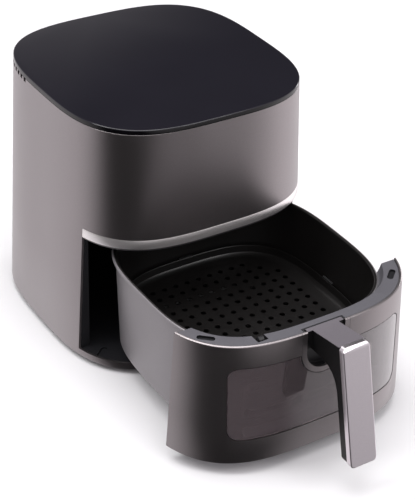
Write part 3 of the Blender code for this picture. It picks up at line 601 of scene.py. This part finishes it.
# ---- Trim band and lip -----------------------------------------------------------------------
# A satin anodised aluminium strip, brushed along its length and bent round the front over the
# drawer. It is glued to a dark plastic lip that finishes the mouth of the bay.

BAND_BASE = 0.1554
BAND_EASE = 0.0005
MOUTH_TOP = 0.1530
LIP_KEY_TOP = 0.1760       # of the tongue behind the housing's front

satin_metal = finish("satin_anodised_aluminium", (0.93, 0.90, 0.89), 0.29, 420, mottle=0.3, spread=0.08,
                     depth=1.0, height=0.00010, stretch=(0.04, 0.04, 12), Metallic=0.86)
lip_grey = finish("dark_grey_lip", (0.060, 0.058, 0.062), 0.42, 1200, mottle=0.25, depth=0.12)

bit = BAND_EASE * 0.3
band = made("satin_trim_band", swept([
    (BAND_EASE, BAND_BASE), (bit, BAND_BASE + bit), (0, BAND_BASE + BAND_EASE), (0, BAND_TOP - BAND_EASE),
    (bit, BAND_TOP - bit), (BAND_EASE, BAND_TOP), (0.0022, BAND_TOP), (0.0022, BAND_BASE)],
    y_end=MOUTH_Y - GAP), BODY, satin_metal)
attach(band, "base_unit")
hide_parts("trim_band")

lip = made("mouth_lip_moulding", swept([
    (0.0016, MOUTH_TOP), (0.0011, MOUTH_TOP + 0.0005), (0.0006, BAND_BASE - GAP),
    (WALL + 0.0006, BAND_BASE - GAP), (WALL + 0.0006, LIP_KEY_TOP), (0.0048, LIP_KEY_TOP),
    (0.0048, BAND_BASE - GAP), (0.0070, BAND_BASE - GAP), (0.0070, MOUTH_TOP)],
    y_end=MOUTH_Y - GAP), BODY, lip_grey)
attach(lip, "base_unit")
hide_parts("mouth_lip")

# ---- Drawer bay ------------------------------------------------------------------------------
# A black heat-resistant liner, moulded in one piece: jambs behind the sides of the mouth, walls
# that follow the basket and a stepped floor with a recess at each front corner.

BAY_HALF, BAY_REAR, BAY_THICK = 0.1310, 0.1355, 0.0018
BAY_BASE = 0.0045
WELL_HALF, WELL_REAR, WELL_FLOOR = 0.1180, 0.1210, 0.0062
RECESS_X, RECESS_Y = 0.1275, -0.1060
CORNER_TURN = 0.72         # heading of the housing's front corners, in radians
JAMB_HALF = 0.1480
HOOD_FLANGE = 0.1535
BAY_STEPS = 90

bay_black = finish("bay_liner_black", (0.0130, 0.0130, 0.0150), 0.45, 1100, mottle=0.3, depth=0.4,
                   Specular_IOR_Level=0.28)


def bay_plan(_z):
    """Half width and half depth inside the bay's wall, the same at every height."""
    return BAY_HALF, BAY_REAR


def well_plan(_z):
    """Half width and half depth of the step down in its floor."""
    return WELL_HALF, WELL_REAR


def turned_slot(half_length, half_width, z, turn, place):
    """A cutter for a round-ended slot that is turned to a heading and moved to its place."""
    slot = prism(rounded(half_length, half_width, half_width - 0.0001), "z", *z)
    bmesh.ops.rotate(slot, cent=(0, 0, 0), matrix=Matrix.Rotation(turn, 3, "Z"), verts=slot.verts)
    bmesh.ops.translate(slot, vec=(*place, 0), verts=slot.verts)
    return slot


bay_angles = even_angles(bay_plan, 0, 0, pi, BAY_STEPS)
bay_inside = [plan_point(bay_plan, a, 0).xy for a in bay_angles]
bay_outside = [plan_point(bay_plan, a, 0, -BAY_THICK).xy for a in bay_angles]
jamb_y = MOUTH_Y + GAP
right_jamb = [Vector((BAY_HALF + BAY_THICK, jamb_y + BAY_THICK)), Vector((JAMB_HALF, jamb_y + BAY_THICK)),
              Vector((JAMB_HALF, jamb_y)), Vector((BAY_HALF, jamb_y))]
left_jamb = [Vector((-p.x, p.y)) for p in reversed(right_jamb)]
bay_wall = [(p.x, p.y) for p in bay_inside + left_jamb + list(reversed(bay_outside)) + right_jamb]
bay = made("bay_liner", prism(bay_wall, "z", BAY_BASE, HOOD_FLANGE - GAP), BODY, bay_black)
worked(bay, "UNION", stacked([plan_loop(body_plan, z, 0.0032) for z in (BAY_BASE, SILL - 0.0005)]), BODY)
cut(bay, stacked([plan_loop(well_plan, z) for z in (WELL_FLOOR, 0.02)]), BODY)
for side in (-1, 1):
    recess = turned_slot(0.0125, 0.0040, (0.0058, 0.02), -side * CORNER_TURN, (side * RECESS_X, RECESS_Y))
    cut(bay, recess, BODY)
worked(bay, "INTERSECT", stacked([plan_loop(body_plan, z, WALL + 0.0007) for z in (0.0, 0.2)]), BODY)
eased(bay, 0.0005)
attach(bay, "base_unit")
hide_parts("drawer_bay")

# ---- Heater, guard and hood ------------------------------------------------------------------
# A black-oxidised tubular element coiled flat over the basket, a plated wire guard welded under
# it, and the pressed steel hood that throws the heat down. All hang from the motor bracket.

HEATER_Z = 0.1640
COIL_R = 0.0033
COIL_TURNS = 2.25
COIL_INNER, COIL_GROWTH = 0.040, 0.048
COIL_STEPS = 240
GUARD_Z = 0.1566
GUARD_RADII = (0.026, 0.044, 0.062, 0.082)
GUARD_RIM = 0.1025
WIRE_R, RIM_WIRE_R = 0.0006, 0.0015

pressed_steel = finish("pressed_bright_steel", (0.50, 0.49, 0.48), 0.32, 500, mottle=0.25, spread=0.12,
                       depth=0.06, Metallic=1.0)
element_steel = finish("oxidised_heater_tube", (0.085, 0.070, 0.062), 0.42, 600, mottle=0.6, spread=0.15,
                       depth=0.2, Metallic=0.9)


def tube(points, radius, sides=16, closed=False):
    """A round bar along a path, or round a closed one."""
    loops = []
    count = len(points)
    for i, point in enumerate(points):
        after = points[(i + 1) % count] if closed else points[min(i + 1, count - 1)]
        before = points[i - 1] if closed or i else points[0]
        along = (after - before).normalized()
        side = along.cross(Vector((0, 0, 1)))
        side = side.normalized() if side.length > 1e-6 else Vector((1, 0, 0))
        up = side.cross(along)
        loops.append([point + radius * (cos(2 * pi * k / sides) * side + sin(2 * pi * k / sides) * up)
                      for k in range(sides)])
    if not closed:
        return stacked(loops)
    built = bmesh.new()
    rings = [[built.verts.new(p) for p in loop] for loop in loops]
    for low, high in zip(rings, rings[1:] + rings[:1]):
        for k in range(sides):
            built.faces.new((low[k], low[(k + 1) % sides], high[(k + 1) % sides], high[k]))
    return built


coil_path = []
for i in range(COIL_STEPS):
    share = i / (COIL_STEPS - 1)
    radius = COIL_INNER + COIL_GROWTH * share
    angle = 2 * pi * COIL_TURNS * share
    coil_path.append(Vector((radius * cos(angle), radius * sin(angle), HEATER_Z)))
element = made("heater_element", tube(coil_path, COIL_R), BODY, element_steel)
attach(element, "base_unit")
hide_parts("heater_coil")

guard_rings = [tube(circle(ring, GUARD_Z, count=96), wire, 10, closed=True)
               for ring, wire in [(ring, WIRE_R) for ring in GUARD_RADII] + [(GUARD_RIM, RIM_WIRE_R)]]
guard_spokes = []
for k in range(3):
    turn = Matrix.Rotation(pi * k / 3 + 0.2, 3, "Z")
    spoke = [turn @ Vector((x, 0, GUARD_Z + 0.0011)) for x in (-0.1022, -0.05, 0, 0.05, 0.1022)]
    guard_spokes.append(tube(spoke, WIRE_R, 10))
guard = made("wire_guard", together(*guard_rings, *guard_spokes), BODY, screw_steel)
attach(guard, "base_unit")
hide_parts("heater_guard")
painted("reflector_hood", pressed_steel)

# ---- Fan, motor and inside fittings ----------------------------------------------------------
# The motor carries a pressed steel fan under the hood and a moulded cooling fan over it. The
# bracket, shield, cut-out, probe, lamp and boards are screwed in place above the hood.

fan_grey = finish("cooling_fan_moulding", (0.11, 0.105, 0.115), 0.5, 1100, mottle=0.3, depth=0.12)
board_green = finish("board_lacquer", (0.015, 0.095, 0.040), 0.45, 180, mottle=0.9, spread=0.2, depth=0.3)
lamp_glass = finish("lamp_cover_glass", (0.80, 0.80, 0.78), 0.12, 300, mottle=0.1, spread=0.05, depth=0.02,
                    Transmission_Weight=0.85)
INSIDE_FITTINGS = {
    "motor_housing": pressed_steel, "motor_bracket": pressed_steel, "heat_shield": pressed_steel,
    "thermal_cutout": black_plastic, "temperature_sensor": screw_steel, "basket_lamp": black_plastic,
    "lamp_cover": lamp_glass, "power_board": board_green, "control_board": board_green,
    "display_module": black_plastic, "microswitch": black_plastic, "switch_plunger": fan_grey,
    "motor_shaft": screw_steel, "convection_fan": pressed_steel, "cooling_fan": fan_grey}
for node, material in INSIDE_FITTINGS.items():
    painted(node, material)

# ---- Drawer front skin -----------------------------------------------------------------------
# The lacquered outer shell of the drawer front, moulded to the housing's own curve so that the
# two line up when shut. It snaps over the frame behind it and is open for window and handle.

FRONT_BASE = 0.0092
FRONT_TOP = 0.1523
SKIN = 0.0030
DRAWER_END = MOUTH_Y - 0.0007
WINDOW_HALF = 0.1060
WINDOW_BASE = 0.0375
WINDOW_TOP = 0.1265
WINDOW_CORNER = 0.0120
POCKET_R = 0.0230
POCKET_RIM_R = 0.0290
POCKET_Z = 0.1272
FRONT_ZONE = (-0.20, -0.09)        # depths that take in the whole drawer front
TOP_DROP = 0.0015          # how far the skin's upper edge is rounded down


def window_shape(grow):
    """A bar with the window's outline, made larger or smaller all round."""
    outline = rounded(WINDOW_HALF + grow, (WINDOW_TOP - WINDOW_BASE) / 2 + grow, WINDOW_CORNER + grow,
                      (0, (WINDOW_TOP + WINDOW_BASE) / 2))
    return prism(outline, "y", *FRONT_ZONE)


def pocket_shape(radius, top=0.17, start=FRONT_ZONE[0], end=FRONT_ZONE[1]):
    """A bar with the outline of the round-bottomed recess, open upwards."""
    turns = [pi * i / 40 for i in range(41)]
    arc = [(-radius * cos(a), POCKET_Z - radius * sin(a)) for a in turns]
    return prism([(-radius, top)] + arc + [(radius, top)], "y", start, end)


def rounded_top(outer, inner, top):
    """Upper edge of a thin wall, as (inset, height) points: eased broadly outside, a little inside."""
    broad, small = 0.8 * (inner - outer), 0.2 * (inner - outer)
    outside = [(outer + broad * (1 - cos(a)), top - TOP_DROP * (1 - sin(a))) for a in quarter(7)]
    inside = [(inner - small * (1 - cos(a)), top - small * (1 - sin(a))) for a in quarter(7)[-2::-1]]
    return outside + inside


skin = made("drawer_front_skin", swept([
    (SKIN - 0.0004, FRONT_BASE), (0.0010, FRONT_BASE), (0.0003, FRONT_BASE + 0.0003),
    (0, FRONT_BASE + 0.0010), (0, 0.06), (0, 0.11), *rounded_top(0, SKIN - 0.0004, FRONT_TOP)],
    y_end=DRAWER_END), DRAWER, lacquer)
cut(skin, window_shape(0.0), DRAWER)
cut(skin, pocket_shape(POCKET_RIM_R + GAP), DRAWER)
eased(skin, 0.0005)
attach(skin, "drawer")
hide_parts("front_skin")

# ---- Window and seal -------------------------------------------------------------------------
# A curved pane of dark tinted glass set flush in the skin and notched round the handle recess.
# A rubber seal on its back presses on the frame and keeps steam out of the gap.

SEAL_OUTLINE = rounded(0.0960, 0.0430, 0.010, (0, 0.0705))
SEAL_OPENING = rounded(0.0880, 0.0340, 0.008, (0, 0.0700))

window_glass = finish("tinted_window_glass", (0.20, 0.165, 0.175), 0.03, 20, mottle=0.08, spread=0.02,
                      depth=0.0, Transmission_Weight=0.74, IOR=1.5, Coat_Weight=1.0, Coat_IOR=1.95)

pane = made("tinted_window", swept([
    (0.0003, 0.02), (0.0003, 0.14), (0.0028, 0.14), (0.0028, 0.02)], y_end=DRAWER_END), DRAWER, window_glass)
worked(pane, "INTERSECT", window_shape(-0.0010), DRAWER)
cut(pane, pocket_shape(POCKET_RIM_R + 0.0010), DRAWER)
eased(pane, 0.0004)
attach(pane, "drawer")
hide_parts("outer_window")

seal = made("window_rubber_seal", swept([
    (0.0062, 0.02), (0.0062, 0.13), (0.0080, 0.13), (0.0080, 0.02)], y_end=DRAWER_END), DRAWER, rubber)
worked(seal, "INTERSECT", prism(SEAL_OUTLINE, "y", *FRONT_ZONE), DRAWER)
cut(seal, prism(SEAL_OPENING, "y", *FRONT_ZONE), DRAWER)
cut(seal, pocket_shape(POCKET_R + 0.0035), DRAWER)
eased(seal, 0.0004)
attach(seal, "drawer")
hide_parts("window_seal")

# ---- Drawer front frame ----------------------------------------------------------------------
# A dark grey structural moulding behind the skin. Its flat top flange curves down to the basket's
# rim, with a slot near each end, and holds the tab that works the safety switch.

FLANGE_TOP = 0.1510
SHOULDER_FOOT = 0.1412
SHOULDER_IN = 0.0222       # inset of the frame's inner face
TAB_X = -0.0680
TAB_HALF, NOTCH_HALF = 0.0030, 0.0062
SLOT_X, SLOT_Y = 0.1150, -0.1075
FRAME_OPENING = rounded(0.0900, 0.0365, 0.008, (0, 0.0700))
PAN_RIM = 0.1400
PAN_HALF_X, PAN_HALF_Y = 0.1225, 0.1255    # of the basket's wall at its rim
PAN_TAPER = 0.035

grey_plastic = finish("grey_moulding", (0.094, 0.092, 0.104), 0.44, 1150, mottle=0.22, spread=0.06, depth=0.5)


def pan_plan(z):
    """Half width and half depth of the basket's wall, which narrows towards its floor."""
    narrower = PAN_TAPER * (PAN_RIM - z)
    return PAN_HALF_X - narrower, PAN_HALF_Y - narrower


shoulder = [(0.0170, FLANGE_TOP)]
for a in quarter(6):
    rise = 1 - sin(a)
    shoulder.append((SHOULDER_IN - 0.0046 * rise,
                     SHOULDER_FOOT + (FLANGE_TOP - 0.0004 - SHOULDER_FOOT) * rise ** 1.6))
front_frame = made("drawer_front_frame", swept([
    (0.0029, FRONT_BASE + 0.001), (0.0029, FLANGE_TOP - 0.0005), (0.0034, FLANGE_TOP), *shoulder,
    (SHOULDER_IN, FRONT_BASE + 0.001)], y_end=MOUTH_Y - 0.0009), DRAWER, grey_plastic)
cut(front_frame, swept([
    (0.0058, FRONT_BASE + 0.0035), (0.0058, 0.1480), (0.0150, 0.1480), (0.0195, 0.1405), (0.0300, 0.1405),
    (0.0300, FRONT_BASE + 0.0035)], y_end=MOUTH_Y - 0.0034), DRAWER)
cut(front_frame, stacked([plan_loop(pan_plan, z, -0.0048) for z in (0.0, 0.1409)]), DRAWER)
cut(front_frame, prism(FRAME_OPENING, "y", -0.20, -0.13), DRAWER)
cut(front_frame, pocket_shape(POCKET_R + 0.0023, end=-0.1417), DRAWER)
# the slots' walls and floors take the bay's black instead of the frame's grey: painted shade in the recesses
for side in (-1, 1):
    slot = turned_slot(0.0095, 0.0034, (FLANGE_TOP - 0.0026, 0.17), side * CORNER_TURN,
                       (side * SLOT_X, SLOT_Y))
    cut(front_frame, slot, DRAWER, bay_black)
# the notch's cut faces also take the bay's black: painted shade
notch = block((TAB_X - NOTCH_HALF, TAB_X + NOTCH_HALF), (-0.1390, -0.1200), (0.1430, 0.17))
cut(front_frame, notch, DRAWER, bay_black)
eased(front_frame, 0.0005)
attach(front_frame, "drawer")
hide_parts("front_frame")

tab = made("switch_tab", prism([(-0.1370, 0.1434), (-0.1300, 0.1434), (-0.1300, 0.1496), (-0.1318, 0.1519),
                                (-0.1330, 0.1522), (-0.1352, 0.1522), (-0.1370, 0.1504)],
                               "x", TAB_X - TAB_HALF, TAB_X + TAB_HALF), DRAWER, black_plastic)
eased(tab, 0.0005)
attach(tab, "drawer")
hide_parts("interlock_tab")

# ---- Handle recess ---------------------------------------------------------------------------
# A lacquered U-shaped rim lies flush with the skin round a black moulded cup, which gives the
# fingertips room under the neck of the handle. Both clip into the front frame.

POCKET_BACK = -0.1440
CUP_FRONT, CUP_WALL = -0.1485, 0.0020
SCREW_Z = 0.1395
SCREW_XS = {"left": -0.0110, "right": 0.0110}

recess_rim = made("recess_rim", swept([
    (SKIN - 0.0004, 0.080), (0.0, 0.080), (0.0, 0.11), *rounded_top(0, SKIN - 0.0004, FRONT_TOP)],
    y_end=DRAWER_END), DRAWER, lacquer)
worked(recess_rim, "INTERSECT", pocket_shape(POCKET_RIM_R), DRAWER)
cut(recess_rim, pocket_shape(POCKET_R), DRAWER)
eased(recess_rim, 0.0005, 3)
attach(recess_rim, "drawer")
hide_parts("handle_pocket")

cup = made("recess_cup", pocket_shape(
    POCKET_R + CUP_WALL, FLANGE_TOP, CUP_FRONT, POCKET_BACK + CUP_WALL), DRAWER, black_plastic)
cut(cup, pocket_shape(POCKET_R, end=POCKET_BACK), DRAWER)
eased(cup, 0.0003)
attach(cup, "drawer")

# ---- Handle ----------------------------------------------------------------------------------
# A charcoal moulding: the root fills the top of the recess, the neck bends down into the grip.
# Two screws from inside the drawer hold it to the frame, and their heads show behind the front.

HANDLE_TOP = 0.1589
HANDLE_BASE = 0.0307
HANDLE_FACE = -0.1995
HANDLE_LEAN = 0.244        # how far the face leans out per metre down
ROOT_TOP = 0.1516
ROOT_FRONT = -0.1520       # where the neck starts to rise
HANDLE_HALF = 0.0162
PLATE_WRAP = 0.0070
PLATE_ROUND = 0.0013
PLATE_BEVEL = 0.0027
HANDLE_CORNER = 0.0048
GRIP_DEPTH = 0.0165
NECK_UNDER = 0.1290
BEND_LOW = 0.1000          # where the neck's underside has become the back of the grip
TAIL_R = 0.0062
TRIM_HALF = 0.0700

# two copies of the handle's moulding: a lighter grey for its upward top faces as painted light, and a
# near-black one for every other face as painted shade
handle_painted_light = finish("handle_top_painted_light", (0.124, 0.113, 0.127), 0.47, 1250, mottle=0.22, spread=0.06,
                     depth=0.5)
handle_painted_shade = finish("handle_painted_shade", (0.0060, 0.0056, 0.0060), 0.48, 1250, mottle=0.25, depth=0.3,
                      Specular_IOR_Level=0.22)


def face_y(z):
    """Front of the handle at a height."""
    return HANDLE_FACE - HANDLE_LEAN * (HANDLE_TOP - z)


def grip_side(front):
    """Side view of the moulding, whose face is set back from the metal plate by front."""
    start = Vector((-0.1660, NECK_UNDER))
    corner = Vector((face_y(NECK_UNDER) + GRIP_DEPTH, NECK_UNDER))
    end = Vector((face_y(BEND_LOW) + GRIP_DEPTH, BEND_LOW))
    bend = [start.lerp(corner, t).lerp(corner.lerp(end, t), t) for t in [i / 16 for i in range(17)]]
    low = HANDLE_BASE + 0.0006
    tail_z = low + TAIL_R
    tail_centre = Vector((face_y(tail_z) + GRIP_DEPTH - TAIL_R, tail_z))
    tail = [tail_centre + TAIL_R * Vector((cos(a), -sin(a))) for a in quarter(6)[:-1]]
    base = [Vector((face_y(low) + max(front, 0.0085), low)), Vector((face_y(low) + front, low))]
    top = HANDLE_TOP - 0.0010
    root = POCKET_BACK - GAP
    return [(p.x, p.y) for p in
            [Vector((root, NECK_UNDER)), *bend, *tail, *base, Vector((face_y(top) + front, top)),
             Vector((ROOT_FRONT, ROOT_TOP)), Vector((root, ROOT_TOP))]]


def leaning(side, end, corner, levels):
    """A slab that leans with the face, in from its sides and ends, with an (inset, depth) per level."""
    half_height = (HANDLE_TOP - HANDLE_BASE) / 2
    loops = []
    for inset, depth in levels:
        outline = rounded(HANDLE_HALF - side - inset, half_height - end - inset, corner - inset,
                          (0, HANDLE_BASE + half_height))
        loops.append([Vector((x, face_y(z) + depth, z)) for x, z in outline])
    return stacked(loops)


half = HANDLE_HALF - GAP
grip = made("handle_grip", prism(grip_side(PLATE_WRAP + GAP), "x", -half, half), DRAWER,
            handle_painted_shade, handle_painted_light)
front_view = rounded(half, TRIM_HALF, HANDLE_CORNER, (0, HANDLE_BASE + 0.0006 + TRIM_HALF))
worked(grip, "INTERSECT", prism(front_view, "y", -0.26, -0.10), DRAWER)
worked(grip, "UNION", leaning(0.0019, 0.0030, HANDLE_CORNER - 0.0022, ((0, 0.0019), (0, 0.0086))), DRAWER)
root_block = rounded(0.0220, 0.0026, 0.0006, (0, POCKET_BACK - GAP - 0.0026))
worked(grip, "UNION", prism(root_block, "z", 0.1302, ROOT_TOP), DRAWER)
bores = [prism(disc(0.0023, (x, SCREW_Z)), "y", -0.1590, -0.13) for x in SCREW_XS.values()]
cut(grip, together(*bores), DRAWER)
# upward faces at the top take the lighter copy as painted light; all other faces take the darker copy as
# painted shade
for face in grip.data.polygons:
    lit_top_face = face.normal.z > 0.9 and face.center.z > BODY.z + ROOT_TOP - 0.0010
    face.material_index = 1 if lit_top_face else 0
eased(grip, 0.0014, 4)
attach(grip, "drawer")
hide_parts("handle_body")

for side, x in SCREW_XS.items():
    shank = prism(disc(0.0019, (x, SCREW_Z)), "y", -0.1580, -0.1400)
    fixing = made(f"handle_fixing_{side}", shank, DRAWER, screw_steel)
    worked(fixing, "UNION", prism(disc(0.0036, (x, SCREW_Z)), "y", -0.1415, -0.1390), DRAWER)
    for a, b in ((0.0022, 0.0004), (0.0004, 0.0022)):
        cut(fixing, prism(rounded(a, b, 0.0002, (x, SCREW_Z)), "y", -0.1398, -0.13), DRAWER)
    eased(fixing, 0.0003)
    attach(fixing, "drawer")
    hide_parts(f"handle_screw_{side}")

# ---- Handle plate ----------------------------------------------------------------------------
# A shallow channel of satin aluminium with polished round edges, pushed over the front of the
# grip until its hidden lugs snap in.

plate_metal = finish("blasted_aluminium", (0.66, 0.62, 0.65), 0.30, 1700, mottle=0.18, spread=0.05,
                     depth=0.05, Metallic=1.0)
round_over = [(PLATE_ROUND * (1 - cos(a)), PLATE_ROUND * (1 - sin(a))) for a in quarter(6)]
plate = made("handle_face_plate", leaning(0, 0, HANDLE_CORNER, [
    (0, PLATE_WRAP), *round_over, (PLATE_ROUND + 0.0004, 0)]), DRAWER, plate_metal)
cut(plate, leaning(0.0015, 0.0030, HANDLE_CORNER - 0.0016, ((0, 0.0015), (0, 0.02))), DRAWER)
past = 0.01
bevel_cut = [(HANDLE_FACE + PLATE_BEVEL + past, HANDLE_TOP + past), (HANDLE_FACE - past, HANDLE_TOP + past),
             (HANDLE_FACE - past, HANDLE_TOP - PLATE_BEVEL - past)]
cut(plate, prism(bevel_cut, "x", -0.03, 0.03), DRAWER)
eased(plate, 0.0005, 3)
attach(plate, "drawer")
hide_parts("handle_plate")

# ---- Basket ----------------------------------------------------------------------------------
# A deep-drawn steel pan, grey-coated outside and black non-stick inside, with a rolled rim that
# hooks over the frame. A clear pane held in a thin steel frame closes the opening in its front.

PAN_FLOOR = 0.0150
PAN_BEND = 0.014
PAN_THICK = 0.0010
ROLL_R, ROLL_INNER_R = 0.0018, 0.0016
PAN_OPENING = rounded(0.0720, 0.0300, 0.008, (0, 0.0760))
PANE_OUTLINE = rounded(0.0715, 0.0295, 0.0075, (0, 0.0760))
PANE_FRAME_OUTLINE = rounded(0.0780, 0.0360, 0.010, (0, 0.0760))
PANE_FRAME_OPENING = rounded(0.0690, 0.0270, 0.006, (0, 0.0760))
PAN_FRONT = (-0.16, -0.09)         # depths that take in the basket's front wall

pan_grey = finish("grey_pan_coating", (0.235, 0.222, 0.232), 0.44, 1500, mottle=0.25, spread=0.05, depth=0.07,
                  Metallic=0.55)
pan_black = finish("black_nonstick", (0.0085, 0.0078, 0.0076), 0.30, 850, mottle=0.7, spread=0.10,
                   depth=0.10)

bend_angles = quarter(8)[:-1]
pan_outside = [(PAN_FLOOR + PAN_BEND * (1 - cos(a)), PAN_BEND * (1 - sin(a))) for a in bend_angles]
pan_inside = [(z + PAN_THICK * cos(a), inset + PAN_THICK * sin(a))
              for (z, inset), a in zip(pan_outside, bend_angles)]
roll = [(PAN_RIM - ROLL_R + ROLL_R * sin(a), -ROLL_R - ROLL_R * cos(a)) for a in quarter(5)]
roll_in = [(PAN_RIM - ROLL_INNER_R + ROLL_INNER_R * cos(a), ROLL_INNER_R * sin(a) - 0.0006)
           for a in quarter(5)]
pan_loops = pan_outside + [(PAN_RIM - 0.030, 0.0), (PAN_RIM - 0.0035, 0.0), (PAN_RIM - 0.0035, -0.0030),
                           (PAN_RIM - 0.0030, -0.0036)] + roll
black_from = len(pan_loops) - 1
pan_loops += roll_in + list(reversed(pan_inside))
pan_mesh = stacked([plan_loop(pan_plan, z, inset) for z, inset in pan_loops])
floor_face = len(pan_mesh.faces) - 1
for index, face in enumerate(pan_mesh.faces):
    inside = black_from <= index // ROUND_STEPS < len(pan_loops) - 1
    face.material_index = int(inside or index == floor_face)
pan = made("drawn_steel_pan", pan_mesh, DRAWER, pan_grey, pan_black)
cut(pan, prism(PAN_OPENING, "y", *PAN_FRONT), DRAWER)
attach(pan, "drawer")
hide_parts("basket")

clear_glass = finish("clear_inner_glass", (0.86, 0.87, 0.86), 0.03, 20, mottle=0.05, spread=0.02, depth=0.0,
                     Transmission_Weight=1.0, IOR=1.5)
inner_pane = made("clear_inner_pane", swept([
    (-0.0012, 0.040), (-0.0012, 0.112), (0.0012, 0.112), (0.0012, 0.040)], pan_plan, -0.1),
    DRAWER, clear_glass)
worked(inner_pane, "INTERSECT", prism(PANE_OUTLINE, "y", *PAN_FRONT), DRAWER)
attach(inner_pane, "drawer")
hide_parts("inner_window")

pane_frame = made("inner_pane_frame", swept([
    (-0.0036, 0.034), (-0.0036, 0.118), (-0.0016, 0.118), (-0.0016, 0.034)], pan_plan, -0.09),
    DRAWER, screw_steel)
worked(pane_frame, "INTERSECT", prism(PANE_FRAME_OUTLINE, "y", *PAN_FRONT), DRAWER)
cut(pane_frame, prism(PANE_FRAME_OPENING, "y", *PAN_FRONT), DRAWER)
eased(pane_frame, 0.0003)
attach(pane_frame, "drawer")
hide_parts("inner_window_frame")

# ---- Crisper plate ---------------------------------------------------------------------------
# A stamped steel tray with round air holes, an upturned edge and the basket's black non-stick
# coating. Four silicone bumpers pushed over the edge centre it and keep it off the walls.

PLATE_Z = 0.0660
PLATE_LIP = 0.0790
PLATE_THICK = 0.0012
PLATE_CLEAR = 0.0050       # gap to the basket's wall
HOLE_PITCH = 0.0150
HOLE_R = 0.0032
HOLE_REACH, HOLE_LIMIT = 7.1, 0.78         # rounded square that the holes keep to, in pitches

tray_loops = [
    (PLATE_Z - PLATE_THICK, 0.0085), (PLATE_Z - PLATE_THICK + 0.0012, 0.0036), (PLATE_Z + 0.0040, 0.0006),
    (PLATE_LIP - 0.0004, 0.0), (PLATE_LIP, PLATE_THICK * 0.3), (PLATE_LIP, PLATE_THICK * 0.7),
    (PLATE_LIP - 0.0004, PLATE_THICK), (PLATE_Z + 0.0046, 0.0006 + PLATE_THICK),
    (PLATE_Z + 0.0014, 0.0045), (PLATE_Z, 0.0090)]
tray = made("crisper_tray", stacked([plan_loop(pan_plan, z, PLATE_CLEAR + inset) for z, inset in tray_loops]),
            DRAWER, pan_black)
holes = []
for i in range(-6, 7):
    for j in range(-6, 7):
        if sum((abs(k) / HOLE_REACH) ** SQUARENESS for k in (i, j)) < HOLE_LIMIT:
            holes.append(turned([(HOLE_R, 0.05), (HOLE_R, 0.08)], i * HOLE_PITCH, j * HOLE_PITCH, 20))
cut(tray, together(*holes), DRAWER)
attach(tray, "crisper")
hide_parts("crisper_plate")

BUMPER_SIDES = {"left": (-1, 0), "right": (1, 0), "front": (0, -1), "rear": (0, 1)}
BUMPER_CLEAR, BUMPER_THICK = 0.0018, 0.0026
BUMPER_WIDTH = (-0.009, 0.009)
for name, (side, end) in BUMPER_SIDES.items():
    wide, deep = pan_plan(PLATE_Z)
    reach = (wide if side else deep) - BUMPER_CLEAR
    x = sorted((side * (reach - BUMPER_THICK), side * reach)) if side else BUMPER_WIDTH
    y = sorted((end * (reach - BUMPER_THICK), end * reach)) if end else BUMPER_WIDTH
    bumper = made(f"silicone_bumper_{name}", block(x, y, (PLATE_Z + 0.0045, PLATE_LIP + 0.0010), 0.0010),
                  DRAWER, rubber)
    eased(bumper, 0.0005)
    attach(bumper, "crisper")
    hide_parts(f"plate_bumper_{name}")
